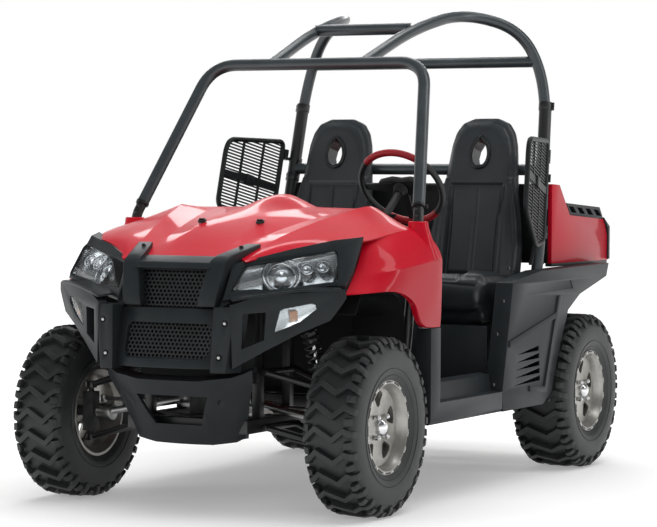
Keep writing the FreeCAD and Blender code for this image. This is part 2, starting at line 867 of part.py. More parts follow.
def make_drive_line():
    y = s.wheelbase / 2
    half = s.case_depth / 2
    cases = []
    for end, middle in (("front", -y), ("rear", y)):
        block = span_box(end + "_case_block", (-s.case_half_width, s.case_half_width),
                         (middle - half, middle + half),
                         (s.case_bottom, s.case_bottom + s.case_height))
        cases.append(block)
    node("drive_cases", group("drive_cases", cases))
    node("engine", span_box("engine", (-s.engine_half_width, s.engine_half_width),
                            (ENGINE_FRONT, ENGINE_REAR), (s.rail_bottom, s.engine_top)))
    shafts = []
    for end, middle, track in (("front", -y, s.front_track), ("rear", y, s.rear_track)):
        reach = track / 2 - s.kingpin_offset - s.upright_thickness / 2
        stop = reach - s.shaft_gap if end == "front" else reach - s.seat_gap
        for word, side in SIDES.items():
            name = f"{end}_{word}_half_shaft"
            half_boot = s.boot_length / 2
            bar = strut(name + "_bar",
                        (side * (s.case_half_width + half_boot), middle, s.output_z),
                        (side * (stop - half_boot), middle, s.tyre_radius), s.shaft_radius)
            boot = rod(name + "_boot", (side * (stop - s.boot_length), middle, s.tyre_radius),
                       X_AXIS * side, s.boot_length, s.boot_radius)
            inner = rod(name + "_inner_boot", (side * s.case_half_width, middle, s.output_z),
                        X_AXIS * side, s.boot_length, s.boot_radius)
            shafts.append(fuse(name, [bar, boot, inner]))
    shafts.append(rod("front_prop_shaft", (0, -y + half, s.prop_shaft_z), Y_AXIS,
                      ENGINE_FRONT + y - half, s.shaft_radius))
    shafts.append(rod("rear_prop_shaft", (0, ENGINE_REAR, s.prop_shaft_z), Y_AXIS,
                      y - half - ENGINE_REAR, s.shaft_radius))
    node("drive_shafts", group("drive_shafts", shafts))
    muffler = rod("muffler", (-s.muffler_half_length, s.muffler_y, s.muffler_z), X_AXIS,
                  s.muffler_half_length * 2, s.muffler_radius)
    down_x = -s.muffler_half_length / 2
    pipe = tube("exhaust_pipe", [
        (down_x, ENGINE_REAR, s.muffler_z), (down_x, s.muffler_y, s.muffler_z)],
        s.exhaust_radius, s.cage_bend)
    tail = tube("tail_pipe", [
        (-down_x, s.muffler_y, s.muffler_z), (-down_x, RAIL_REAR + s.muffler_radius, s.muffler_z)],
        s.exhaust_radius, s.cage_bend)
    node("exhaust", fuse("exhaust", [muffler, pipe, tail]))


# Frame: rails, cross members, suspension towers and the rear receiver

def make_frame():
    rails = [span_box(f"{word}_rail",
                      (side * s.rail_x - s.rail_size / 2, side * s.rail_x + s.rail_size / 2),
                      (RAIL_FRONT, RAIL_REAR), (s.rail_bottom, s.rail_bottom + s.rail_size))
             for word, side in SIDES.items()]
    node("frame_rails", group("frame_rails", rails))
    between = s.rail_x - s.rail_size / 2
    top = s.rail_bottom + s.rail_size
    y = s.wheelbase / 2
    half = s.case_depth / 2
    low_bars = [("nose", RAIL_FRONT), ("front_case", -y - half - s.cross_size),
                ("rear_case", y + half), ("tail", RAIL_REAR - s.cross_size)]
    bars = [span_box(name + "_cross", (-between, between), (start, start + s.cross_size),
                     (s.rail_bottom, top)) for name, start in low_bars]
    outriggers = [("front", s.hoop_y - s.cross_size / 2), ("middle", s.box_front + s.cross_size)]
    bars += [span_box(name + "_outrigger", (-s.outrigger_half_width, s.outrigger_half_width),
                      (start, start + s.cross_size), (top, top + s.cross_size))
             for name, start in outriggers]
    start = s.box_rear - s.cross_size
    for word, side in SIDES.items():
        reach = (between, s.outrigger_half_width) if side > 0 else (
            -s.outrigger_half_width, -between)
        bars.append(span_box(f"{word}_rear_outrigger", reach, (start, s.box_rear),
                             (top, top + s.cross_size)))
    node("frame_crossmembers", group("frame_crossmembers", bars))
    node("suspension_towers", group("suspension_towers", [make_tower("front"), make_tower("rear")]))


def make_tower(end):
    """Four posts on the rails, joined at the top by a bridge that the shocks hang from."""
    middle = -s.wheelbase / 2 if end == "front" else s.wheelbase / 2
    foot = s.rail_bottom + s.rail_size
    half = s.tower_size / 2
    rest = s.tower_top if end == "front" else s.bed_rest_top
    pin_x = shock_x(end, s.shock_top_inset)
    level = s.shock_top_z
    parts = []
    for word, side in SIDES.items():
        x = side * s.rail_x
        for name, way in (("ahead", -1), ("behind", 1)):
            y = middle + way * s.arm_half_spread
            parts.append(span_box(f"{end}_{word}_{name}_post", (x - half, x + half),
                                  (y - half, y + half), (foot, rest)))
        parts.append(span_box(f"{end}_{word}_rail_top", (x - half, x + half),
                              (middle - s.arm_half_spread, middle + s.arm_half_spread),
                              (rest - s.tower_size, rest)))
        pin = rod(f"{end}_{word}_shock_pin", (side * pin_x, middle - s.shock_pin_reach, level),
                  Y_AXIS, s.shock_pin_reach * 2, s.shock_pin_radius)
        parts.append(pin)
        for name, way in (("ahead", -1), ("behind", 1)):
            near = middle + way * (s.shock_eye_half_length + s.seat_gap)
            far = middle + way * s.shock_pin_reach
            parts.append(span_box(f"{end}_{word}_{name}_ear", (
                side * s.rail_x if side > 0 else -pin_x - s.shock_eye_radius,
                pin_x + s.shock_eye_radius if side > 0 else -s.rail_x),
                (near, far) if way > 0 else (far, near), (level - half, rest)))
    parts.append(span_box(end + "_bridge", (-s.rail_x, s.rail_x), (middle - half, middle + half),
                          (rest - s.tower_size, rest)))
    return fuse(end + "_tower", parts)


def make_receiver():
    """A square socket behind the tail cross member, with its pin hole."""
    half = s.receiver_size / 2
    inner = half - s.receiver_wall
    middle = s.rail_bottom + s.rail_size / 2
    outside = span_box("receiver_outside", (-half, half),
                       (RAIL_REAR, RAIL_REAR + s.receiver_length), (middle - half, middle + half))
    inside = span_box("receiver_inside", (-inner, inner),
                      (RAIL_REAR + s.receiver_wall, RAIL_REAR + s.receiver_length + s.overrun),
                      (middle - inner, middle + inner))
    hole = rod("receiver_pin_hole", (-half - s.overrun,
                                     RAIL_REAR + s.receiver_length - s.receiver_pin_setback, middle),
               X_AXIS, s.receiver_size + s.overrun * 2, s.receiver_pin_radius)
    node("hitch_receiver", cut("hitch_receiver", outside, [inside, hole]))


# Cab tub: floor, firewall, seat box, dash and radiator

def make_tub():
    floor_z = s.rail_bottom + s.rail_size + s.cross_size
    floor_top = floor_z + s.floor_thickness
    node("floor_pan", span_box("floor_pan", (-s.outrigger_half_width, s.outrigger_half_width),
                               (s.floor_front, s.box_front), (floor_z, floor_top)))
    wall = s.floor_thickness
    board = [(s.floor_front, floor_z), (s.toe_board_front, s.toe_board_top),
             (s.toe_board_front, s.firewall_top), (s.toe_board_front + wall, s.firewall_top),
             (s.toe_board_front + wall, s.toe_board_top + wall), (s.floor_front, floor_top + wall)]
    node("firewall", slab("firewall", "YZ_Plane", board, -s.firewall_half_width,
                          s.firewall_half_width * 2))
    outside = span_box("seat_box_outside", (-s.box_half_width, s.box_half_width),
                       (s.box_front, s.box_rear), (floor_z, s.box_top))
    inside = span_box("seat_box_inside", (-s.box_half_width + wall, s.box_half_width - wall),
                      (s.box_front + wall, s.box_rear + s.overrun),
                      (floor_z - s.overrun, s.box_top - wall))
    apron = span_box("seat_box_apron", (-s.outrigger_half_width, s.outrigger_half_width),
                     (s.box_front, s.box_front + wall), (floor_z, s.box_top))
    node("seat_box", fuse("seat_box", [cut("seat_box_shell", outside, [inside]), apron]))
    dash = outline(DASH_SHARES, (s.toe_board_front + wall, s.dash_bottom),
                   (s.dash_depth, s.dash_height))
    node("dash", slab("dash", "YZ_Plane", dash, -s.dash_half_width, s.dash_half_width * 2))
    posts = -s.wheelbase / 2 - s.arm_half_spread - s.tower_size / 2
    node("radiator", box("radiator", (-s.radiator_half_width, posts - s.radiator_depth,
                                      s.tower_top - s.radiator_height),
                         (s.radiator_half_width * 2, s.radiator_depth, s.radiator_height)))


# Body panels

def side_slab(name, side, points, outer_x, thickness):
    """A panel whose outline lies in the YZ plane, running inward from its outer face."""
    start = outer_x - thickness if side > 0 else -outer_x
    return slab(name, "YZ_Plane", points, start, thickness)


def make_sill(name, side):
    """The rocker under the door opening and the post that closes the front wheel's arch."""
    width = s.side_x - s.sill_inner_x
    section = outline(SILL_SHARES, (s.sill_inner_x, s.sill_bottom), (width, s.sill_height))
    section = [(side * x, z) for x, z in section]
    beam = slab(name + "_beam", "XZ_Plane", section, -(s.seam_y - s.seat_gap),
                s.seam_y - s.sill_front - s.seat_gap)
    post = [(s.sill_front, s.sill_bottom + s.sill_height / 2),
            (s.post_rear, s.sill_bottom + s.sill_height / 2),
            (s.post_rear, s.fender_bottom - s.seat_gap), (s.sill_front, s.fender_bottom - s.seat_gap)]
    return fuse(name, [beam, side_slab(name + "_post", side, post, s.side_x, s.post_thickness)])


def make_quarter(name, side):
    """The tall panel from the seat to the rear wheel's arch, open on its inner side."""
    points = outline(QUARTER_SHARES, (s.seam_y, s.sill_bottom), (s.quarter_length, s.quarter_height))
    body = side_slab(name + "_shell", side, points, s.side_x, s.quarter_depth)
    hollow(body, lambda face: -side * face.CenterOfMass.x)
    low, size = (s.seam_y, s.sill_bottom), (s.quarter_length, s.quarter_height)
    ribs = [side_slab(f"{name}_{word}", side, outline(shares, low, size), s.side_x + s.rib_height,
                      s.rib_height + s.panel / 2)
            for word, shares in (("ridge", RIDGE_SHARES), ("rib", RIB_SHARES))]
    recess = side_slab(name + "_recess", side, outline(RECESS_SHARES, low, size),
                       s.side_x + s.overrun, s.overrun + s.panel / 2)
    notch = strut(name + "_notch", *rear_leg(side), s.cage_radius + s.panel)
    return cut(name, fuse(name + "_ribbed", [body, *ribs]), [notch, recess])


def make_fender(name, side):
    """A hollow fender lofted over the wheel, with its arch cut through."""
    sections = []
    for y, shares in FENDER_SHARES:
        outer = outline(shares, (s.fender_inner_x, s.fender_bottom),
                        (s.side_x - s.fender_inner_x, s.fender_height))
        inner = [(x - s.panel, z - s.panel) for x, z in outer[:-1]]
        inner.append((outer[-1][0] - s.panel, outer[-1][1]))
        station = s.fender_front + (s.fender_rear - s.fender_front) * y
        sections.append((-station, [(side * x, z) for x, z in outer + inner[::-1]]))
    shell = loft(name + "_shell", "XZ_Plane", sections)
    arch = outline(ARCH_SHARES, (s.fender_front, s.fender_bottom),
                   (s.fender_rear - s.fender_front, s.fender_height))
    start = s.fender_inner_x - s.overrun
    opening = side_slab(name + "_arch", side, arch, s.side_x + s.overrun,
                        s.side_x + s.overrun * 2 - start)
    boss = rod(name + "_boss", (side * s.hoop_x, s.hoop_y, s.hoop_z - s.boss_height), Z_AXIS,
               s.boss_height, s.boss_radius)
    leg = hoop_tube(name + "_leg_hole", s.cage_radius + s.seat_gap)
    lamp_seat = make_bezel_block(name + "_lamp_seat", side, s.overrun)
    return cut(name, fuse(name + "_outside", [shell, boss]), [opening, leg, lamp_seat])


def make_hood():
    """The creased hood: ruled between sections that run across it."""
    sections = []
    for y, shares in HOOD_SHARES:
        half = outline(shares, (0, s.hood_base), (s.hood_half_width, s.hood_rise))
        top = [(-x, z) for x, z in half[:0:-1]] + half
        under = [(x, z - s.panel) for x, z in top[::-1]]
        station = s.hood_front + (s.hood_rear - s.hood_front) * y
        sections.append((-station, top + under))
    seats = [make_bezel_block(f"hood_{word}_lamp_seat", side, s.overrun)
             for word, side in SIDES.items()]
    seats.append(make_grille_frame("hood_front_seat"))
    node("hood", cut("hood", loft("hood_shell", "XZ_Plane", sections), seats))


def lamp_frame(side):
    """The headlight's own frame: x along the lens, y into the nose, z up the leaning lens."""
    turn = FreeCAD.Rotation(Z_AXIS, side * SIZES["lamp_yaw"])
    lean = FreeCAD.Rotation(X_AXIS, -SIZES["lamp_tilt"])
    return (side * s.lamp_inner_x, s.lamp_inner_y, s.lamp_inner_z), turn * lean


def lens_outline(side, margin):
    points = outline(LENS_SHARES, (-margin, -margin),
                     (s.lamp_length + margin * 2, s.lamp_height + margin * 2))
    return [(side * x, z) for x, z in points]


def make_headlight(name, side):
    lamp = slab(name, "XZ_Plane", lens_outline(side, 0), -s.lamp_depth, s.lamp_depth)
    put(lamp, *lamp_frame(side))
    return lamp


def make_bezel_block(name, side, extra=0):
    """A headlight's surround before its opening is cut; a deeper one cuts its seat in the panels."""
    points = outline(BEZEL_SHARES, (0, 0), (s.lamp_length, s.lamp_height))
    block = slab(name, "XZ_Plane", [(side * x, z) for x, z in points],
                 -s.lamp_depth - extra, s.lamp_depth + s.panel + extra * 2)
    put(block, *lamp_frame(side))
    return block


def make_bezel(name, side):
    """The dark surround of a headlight, with the lamp's opening through it."""
    body = make_bezel_block(name, side)
    opening = sketch_on(body, name + "_opening", "XZ_Plane", lens_outline(side, s.seat_gap))
    pocket_all(body, name + "_hole", opening)
    return body


def make_grille_frame(name):
    """Two raked pillars from the bumper onto the hood, with a bar above and below the grille."""
    rake = outline(PILLAR_SHARES, (s.pillar_front, s.pillar_bottom), (s.pillar_run, s.pillar_rise))
    pillars = [side_slab(f"{name}_{word}_pillar", side, rake, s.pillar_outer_x, s.pillar_width)
               for word, side in SIDES.items()]
    lip = outline(LIP_SHARES, (s.pillar_front, s.pillar_bottom), (s.pillar_run, s.pillar_rise))
    foot = outline(FOOT_SHARES, (s.pillar_front, s.pillar_bottom), (s.pillar_run, s.pillar_rise))
    bars = [slab(f"{name}_{word}", "YZ_Plane", points, -s.pillar_outer_x, s.pillar_outer_x * 2)
            for word, points in (("lip", lip), ("foot", foot))]
    return fuse(name, pillars + bars)


def bumper_plan(shares, run):
    """A level outline of the bumper; the run sets it back along the vehicle."""
    return outline(shares, (0, s.bumper_front + run), (s.bumper_half_width, s.bumper_depth))


def make_front_bumper():
    """A pointed middle that leans back as it rises, between two raised blocks."""
    foot = s.bumper_bottom
    head = foot + s.bumper_height
    middle = loft("bumper_middle", "XY_Plane", [
        (foot, both_sides(bumper_plan(BUMPER_SHARES, 0))),
        (foot + s.bumper_height * BUMPER_LIP_SHARE,
         both_sides(bumper_plan(BUMPER_SHARES, s.bumper_run)))])
    window = both_sides(outline(WINDOW_SHARES, (0, foot), (s.bumper_half_width, s.bumper_height)))
    pocket_all(middle, "bumper_window",
               sketch_on(middle, "bumper_gap", "XZ_Plane", window, -s.bumper_front))
    blocks = [loft(f"bumper_{word}_block", "XY_Plane", [
        (level, [(side * x, y) for x, y in bumper_plan(shares, 0)])
        for level, shares in ((foot, BLOCK_FOOT_SHARES), (head, BLOCK_HEAD_SHARES))])
        for word, side in SIDES.items()]
    node("front_bumper", fuse("front_bumper", [middle, *blocks]))


def both_sides(half):
    """Completes an outline whose right half runs from bottom to top."""
    return half + [(-x, z) for x, z in half[::-1]]


def wing_frame(side):
    turn = FreeCAD.Rotation(Z_AXIS, side * SIZES["wing_yaw"])
    return (side * (s.bumper_half_width + s.seat_gap), s.bumper_front + s.bumper_depth,
            s.bumper_bottom), turn


def wing_outline(side, shares):
    points = outline(shares, (0, 0), (s.wing_length, s.wing_height))
    return [(side * x, z) for x, z in points]


def make_wing(name, side):
    """The bumper's swept side: a side window near the pillar and the turn signal's opening."""
    body = slab(name, "XZ_Plane", wing_outline(side, WING_SHARES), -s.wing_thickness,
                s.wing_thickness)
    for word, shares in (("window", SIDE_WINDOW_SHARES), ("lamp", SIGNAL_SHARES)):
        pocket_all(body, f"{name}_{word}_hole",
                   sketch_on(body, f"{name}_{word}", "XZ_Plane", wing_outline(side, shares)))
    put(body, *wing_frame(side))
    return body


def make_signal(name, side):
    shares = along_centre(SIGNAL_SHARES)
    lamp = slab(name, "XZ_Plane", wing_outline(side, shares), -s.wing_thickness, s.wing_thickness)
    put(lamp, *wing_frame(side))
    return lamp


def along_centre(shares):
    """The same outline a hair smaller about its middle, so that a lens drops into its opening."""
    middle = [sum(values) / len(values) for values in zip(*shares)]
    return [tuple(m + (value - m) * LENS_FIT_SHARE for m, value in zip(middle, point))
            for point in shares]


def make_lower_bumper():
    points = both_sides(outline(LOWER_SHARES, (0, 0),
                                (s.lower_bumper_half_width, s.lower_bumper_height)))
    body = slab("lower_bumper", "XZ_Plane", points, 0, s.lower_bumper_thickness)
    window = both_sides(outline(LOWER_WINDOW_SHARES, (0, 0),
                                (s.lower_bumper_half_width, s.lower_bumper_height)))
    pocket_all(body, "lower_bumper_window",
               sketch_on(body, "lower_bumper_gap", "XZ_Plane", window))
    put(body, (0, s.lower_bumper_bottom_y, s.lower_bumper_bottom),
        FreeCAD.Rotation(X_AXIS, SIZES["lower_bumper_lean"]))
    node("lower_bumper", body)


def perforated(name, half_width, height):
    """A plate with staggered rows of six-sided holes, standing on the origin."""
    plate = slab(name + "_plate", "XZ_Plane", both_sides([(half_width, 0), (half_width, height)]), 0,
                 s.grille_thickness)
    rise = s.hole_pitch * ROW_SHARE
    rows = int(float(height - s.hole_radius * 2) / float(rise))
    margin = (height - rise * (rows - 1)) / 2
    holes = []
    for row in range(rows):
        count = int(float(half_width * 2 - s.hole_radius) / float(s.hole_pitch)) - row % 2
        for column in range(count):
            hole = doc.addObject("Part::Prism", f"{name}_hole_{row}_{column}")
            hole.Polygon = HOLE_SIDES
            bind(hole, "Circumradius", s.hole_radius)
            bind(hole, "Height", s.grille_thickness + s.overrun * 2)
            put(hole, (s.hole_pitch * (column - (count - 1) / 2), -s.grille_thickness - s.overrun,
                       margin + rise * row), FreeCAD.Rotation(Z_AXIS, Y_AXIS))
            holes.append(hole)
    sheet_metal = doc.addObject("Part::Cut", name)
    sheet_metal.Base = plate
    sheet_metal.Tool = group(name + "_holes", holes)
    return sheet_metal


def make_grilles():
    upper = perforated("upper_grille", s.pillar_outer_x - s.pillar_width - s.seat_gap,
                       s.upper_grille_height)
    put(upper, (0, s.upper_grille_y, s.pillar_bottom + s.upper_grille_foot),
        FreeCAD.Rotation(X_AXIS, -SIZES["upper_grille_lean"]))
    window = outline(WINDOW_SHARES, (0, s.bumper_bottom), (s.bumper_half_width, s.bumper_height))
    lower = perforated("lower_grille", window[0][0] - s.seat_gap, window[1][1] - window[0][1])
    put(lower, (0, s.bumper_front + s.bumper_depth * LOWER_GRILLE_DEPTH_SHARE,
                window[0][1] + s.grille_thickness / 4),
        FreeCAD.Rotation(X_AXIS, -SIZES["bumper_lean"]))
    node("grilles", group("grilles", [upper, lower]))


def make_liner(name, side):
    """The arched splash shield between the wheel and the cab."""
    outer = outline(LINER_SHARES, (s.fender_front, s.liner_bottom), (s.liner_length, s.liner_height))
    inner = [(y, z - s.panel) for y, z in outer[:-1]] + [
        (outer[-1][0] - s.panel, outer[-1][1])]
    return side_slab(name, side, outer + inner[::-1], s.liner_outer_x, s.liner_width)


def make_panels():
    node("rocker_panels", pair("rocker_panels", make_sill))
    node("quarter_panels", pair("quarter_panels", make_quarter))
    node("fenders", pair("fenders", make_fender))
    make_hood()
    node("headlights", pair("headlights", make_headlight))
    bezels = [make_bezel(f"{word}_bezel", side) for word, side in SIDES.items()]
    node("front_surround", group("front_surround", [*bezels, make_grille_frame("grille_frame")]))
    make_front_bumper()
    node("bumper_wings", pair("bumper_wings", make_wing))
    node("turn_signals", pair("turn_signals", make_signal))
    make_lower_bumper()
    make_grilles()
    node("front_liners", pair("front_liners", make_liner))


LENS_SHARES = [
    # The headlight's lens, with the projector's bulge below
    (0.0, 0.17), (0.28, 0.17), (0.4, 0.0), (0.6, 0.0), (0.7, 0.14), (0.97, 0.2), (1.0, 0.3),
    (1.0, 0.94), (0.95, 1.0), (0.22, 0.9),
]
BEZEL_SHARES = [
    (-0.06, -0.26), (0.42, -0.4), (1.05, -0.22), (1.22, 0.5), (1.33, 1.65), (0.83, 1.4),
    (0.2, 1.14), (-0.01, 0.62),
]
PILLAR_SHARES = [
    # Raked side view of a grille pillar: along the nose, then up
    (0.0, 0.0), (0.15, 0.7), (0.5, 0.82), (1.0, 1.0), (1.0, 0.9), (0.5, 0.72), (0.28, 0.6),
    (0.12, 0.0),
]
LIP_SHARES = [(0.3, 0.62), (0.26, 0.74), (0.5, 0.8), (0.5, 0.72)]
FOOT_SHARES = [(0.0, 0.0), (0.02, 0.08), (0.14, 0.08), (0.12, 0.0)]
BUMPER_SHARES = [
    # Plan of the bumper's right half, from its flat front round to its back
    (0.336, 0.0), (0.758, 1.08), (0.758, 2.2), (0.336, 1.5),
]
BUMPER_LIP_SHARE = 0.93
WINDOW_SHARES = [(0.57, 0.19), (0.57, 0.68)]
BLOCK_FOOT_SHARES = [
    # Plan of a raised block: its front, the edge beside the wing and its back
    (0.695, 0.075), (0.866, 0.075), (0.893, 1.0), (0.879, 1.55), (0.866, 1.78), (0.695, 1.78),
]
BLOCK_HEAD_SHARES = [
    (0.711, 0.375), (0.993, 0.375), (1.0, 1.0), (0.943, 1.55), (0.879, 2.57), (0.711, 2.57),
]
LOWER_GRILLE_DEPTH_SHARE = 1.3
WING_SHARES = [
    (0.0, 0.0), (0.0, 0.9), (0.3, 0.93), (1.0, 0.955), (1.0, 0.92), (0.72, 0.72), (0.3, 0.28),
]
SIDE_WINDOW_SHARES = [(0.06, 0.3), (0.07, 0.8), (0.28, 0.84), (0.27, 0.5)]
SIGNAL_SHARES = [(0.4, 0.52), (0.46, 0.8), (0.74, 0.9), (0.82, 0.84), (0.64, 0.66)]
LENS_FIT_SHARE = 0.99
LOWER_SHARES = [(0.4, 0.0), (0.68, 0.09), (1.0, 0.93), (0.98, 1.0), (0.45, 0.93)]
LOWER_WINDOW_SHARES = [(0.38, 0.24), (0.66, 0.66)]
ROW_SHARE = 0.866
HOLE_SIDES = 6
LINER_SHARES = [
    # Over the tyre: from the nose, along the top, down behind the wheel
    (0.2, 0.8), (0.3, 1.0), (0.75, 1.0), (0.9, 0.93), (1.0, 0.75), (1.0, 0.0),
]
FENDER_SHARES = [
    # Station along the fender, then (across, up) from its inner top edge to its lower edge
    (0.0, [(0.0, 0.53), (0.25, 0.5), (0.42, 0.45), (0.52, 0.38), (0.54, 0.0)]),
    (0.27, [(0.15, 0.77), (0.43, 0.7), (0.72, 0.57), (0.84, 0.49), (0.88, 0.0)]),
    (0.5, [(0.24, 0.88), (0.55, 0.79), (0.88, 0.63), (0.98, 0.52), (1.0, 0.0)]),
    (0.7, [(0.26, 0.93), (0.6, 0.85), (0.94, 0.67), (1.0, 0.53), (1.0, 0.0)]),
    (1.0, [(0.3, 0.95), (0.65, 0.86), (0.98, 0.66), (1.0, 0.53), (1.0, 0.0)]),
]
ARCH_SHARES = [
    # The wheel opening: its front lip, its flat top, its rear corner and the tail's front edge
    (-0.05, -0.1), (-0.05, 0.34), (0.1, 0.35), (0.25, 0.365), (0.5, 0.36), (0.6, 0.32),
    (0.665, 0.23), (0.68, 0.1), (0.68, -0.1),
]
HOOD_SHARES = [
    # Station along the hood, then (across, up) from the middle panel over the valley and crest
    (0.0, [(0.0, 0.183), (0.1, 0.183), (0.17, 0.183), (0.21, 0.167), (0.28, 0.083), (0.36, 0.05),
           (0.42, 0.033)]),
    (0.14, [(0.0, 0.35), (0.1, 0.347), (0.2, 0.34), (0.3, 0.323), (0.44, 0.343), (0.53, 0.3),
            (0.74, 0.17)]),
    (0.4, [(0.0, 0.616), (0.1, 0.61), (0.216, 0.593), (0.364, 0.525), (0.528, 0.569), (0.73, 0.499),
           (0.95, 0.4)]),
    (0.56, [(0.0, 0.728), (0.1, 0.722), (0.217, 0.695), (0.41, 0.619), (0.583, 0.677), (0.79, 0.59),
            (0.96, 0.49)]),
    (0.7, [(0.0, 0.828), (0.1, 0.805), (0.214, 0.747), (0.451, 0.688), (0.634, 0.765), (0.82, 0.65),
           (0.97, 0.54)]),
    (0.82, [(0.0, 0.96), (0.1, 0.9), (0.22, 0.792), (0.479, 0.737), (0.69, 0.84), (0.83, 0.69),
            (0.97, 0.54)]),
    (0.9, [(0.0, 0.99), (0.1, 0.92), (0.225, 0.804), (0.501, 0.765), (0.71, 0.8), (0.84, 0.67),
           (0.97, 0.54)]),
    (1.0, [(0.0, 0.99), (0.1, 0.91), (0.228, 0.797), (0.51, 0.79), (0.7, 0.75), (0.85, 0.64),
           (0.97, 0.54)]),
]


# Seats and steering wheel

CUSHION_SHARES = [
    # Side view of a seat cushion on its plinth
    (0.0, 0.72), (0.03, 0.4), (0.2, 0.3), (0.2, 0.0), (0.948, 0.0), (0.948, 0.355), (0.996, 0.82),
    (0.45, 0.92), (0.1, 1.0),
]
BACK_SHARES = [
    # Half of a seat back from its foot to the top of the headrest
    (0.8, 0.0), (1.0, 0.06), (1.0, 0.3), (0.82, 0.6), (0.72, 0.86), (0.52, 0.97), (0.25, 1.0),
]
DROP_SHARES = [(0.1, 0.73), (0.19, 0.77), (0.19, 0.82), (0.07, 0.88)]


def make_cushion(name, side):
    points = outline(CUSHION_SHARES, (s.cushion_front, s.box_top + s.seat_gap),
                     (s.cushion_length, s.cushion_height))
    return slab(name, "YZ_Plane", points, side * s.seat_x - s.cushion_width / 2, s.cushion_width)


def make_seat_back(name, side):
    """A leaning back with its drop-shaped opening under the headrest."""
    points = both_sides(outline(BACK_SHARES, (0, 0), (s.back_width / 2, s.back_height)))
    body = slab(name, "XZ_Plane", points, -s.back_thickness, s.back_thickness)
    drop = both_sides(outline(DROP_SHARES, (0, 0), (s.back_width / 2, s.back_height)))
    pocket_all(body, name + "_drop", sketch_on(body, name + "_hole", "XZ_Plane", drop))
    put(body, (side * s.seat_x, s.back_foot_y, s.back_foot_z),
        FreeCAD.Rotation(X_AXIS, -SIZES["back_lean"]))
    return body


def make_seats():
    node("seat_cushions", pair("seat_cushions", make_cushion))
    node("seat_backs", pair("seat_backs", make_seat_back))


def tilted(distance):
    """A point on the steering column's axis, measured from the wheel's middle toward the driver."""
    lean = math.radians(SIZES["wheel_tilt"])
    return (s.wheel_x, s.wheel_y + distance * math.sin(lean), s.wheel_z + distance * math.cos(lean))


def make_steering_wheel():
    lean = FreeCAD.Rotation(X_AXIS, -SIZES["wheel_tilt"])
    grip = doc.addObject("Part::Torus", "wheel_grip")
    bind(grip, "Radius1", s.wheel_rim_radius)
    bind(grip, "Radius2", s.wheel_grip_radius)
    put(grip, tilted(0), lean)
    hub = doc.addObject("Part::Cylinder", "wheel_hub")
    bind(hub, "Radius", s.wheel_hub_radius)
    bind(hub, "Height", s.wheel_hub_length)
    put(hub, tilted(-s.wheel_hub_length), lean)
    spokes = []
    for index, angle in enumerate(SPOKE_ANGLES):
        way = lean.multVec(FreeCAD.Rotation(Z_AXIS, angle).multVec(X_AXIS))
        start = tilted(-s.wheel_hub_length / 2)
        end = tuple(a + s.wheel_rim_radius * b for a, b in zip(tilted(0), way))
        spokes.append(strut(f"wheel_spoke_{index}", start, end, s.wheel_spoke_radius))
    node("steering_wheel", fuse("steering_wheel", [grip, hub, *spokes]))
    column = strut("column_tube", tilted(-s.wheel_hub_length - s.column_length),
                   tilted(-s.wheel_hub_length - s.seat_gap), s.column_radius)
    node("steering_column", cut("steering_column", column, [doc.getObject("dash")]))


SPOKE_ANGLES = [0, 90, 180]


# Roll cage

def front_leg(side):
    """The part of the front hoop's leg that stands inside the fender."""
    floor = s.rail_bottom + s.rail_size + s.cross_size + s.front_leg_lift
    return (side * s.hoop_foot_x, s.hoop_y, floor), (side * s.hoop_x, s.hoop_y, s.hoop_z)


def rear_leg(side):
    floor = s.rail_bottom + s.rail_size + s.cross_size + s.rear_leg_lift
    return (side * s.hoop_foot_x, s.box_rear - s.cross_size / 2, floor), (
        side * s.post_x, s.post_y, s.post_z)


def on_post(side, height):
    """The rear post's middle at one height."""
    low = (side * s.post_x, s.post_y, s.post_z)
    high = (side * s.post_top_x, s.post_top_y, s.post_top_z)
    return along(low, high, (height - s.post_z) / (s.post_top_z - s.post_z))


def hoop_tube(name, radius):
    """The front hoop from floor to floor; a wider one cuts the ends and holes that fit round it."""
    corner = (s.hoop_top_x, s.hoop_top_y, s.hoop_top_z)
    foot, base = front_leg(1)
    points = [foot, base, corner, mirror(-1, corner), mirror(-1, base), mirror(-1, foot)]
    return tube(name, points, radius, s.cage_bend)


def side_tube(name, side, radius):
    """One long tube: rear post, shoulder, roof peak and down to the front hoop."""
    foot, base = rear_leg(1)
    points = [foot, base, (s.post_top_x, s.post_top_y, s.post_top_z),
              (s.shoulder_x, s.shoulder_y, s.shoulder_z), (s.peak_x, s.peak_y, s.peak_z),
              (s.joint_x, s.joint_y, s.joint_z), (s.reach_x, s.hoop_top_y, s.hoop_top_z)]
    return tube(name, [mirror(side, point) for point in points], radius, s.cage_bend)


def make_cage():
    fit = s.cage_radius + s.seat_gap
    node("front_hoop", hoop_tube("front_hoop", s.cage_radius))
    node("cage_sides", group("cage_sides", [
        cut(word + "_cage_side", side_tube(word + "_cage_tube", side, s.cage_radius),
            [hoop_tube(word + "_cage_cope", fit)]) for word, side in SIDES.items()]))
    bars = [
        ("joint_bar", (s.joint_x, s.joint_y, s.joint_z)),
        ("shoulder_bar", along((s.post_top_x, s.post_top_y, s.post_top_z),
                               (s.shoulder_x, s.shoulder_y, s.shoulder_z), BAR_SHARE)),
        ("seat_bar", on_post(1, s.seat_bar_z)),
    ]
    cross = []
    for name, (x, y, z) in bars:
        bar = rod(name + "_tube", (-x, y, z), X_AXIS, x * 2, s.cage_radius)
        copes = [side_tube(f"{name}_{word}_cope", side, fit) for word, side in SIDES.items()]
        cross.append(cut(name, bar, copes))
    node("cage_crossbars", group("cage_crossbars", cross))


BAR_SHARE = 0.42


# Cargo bed

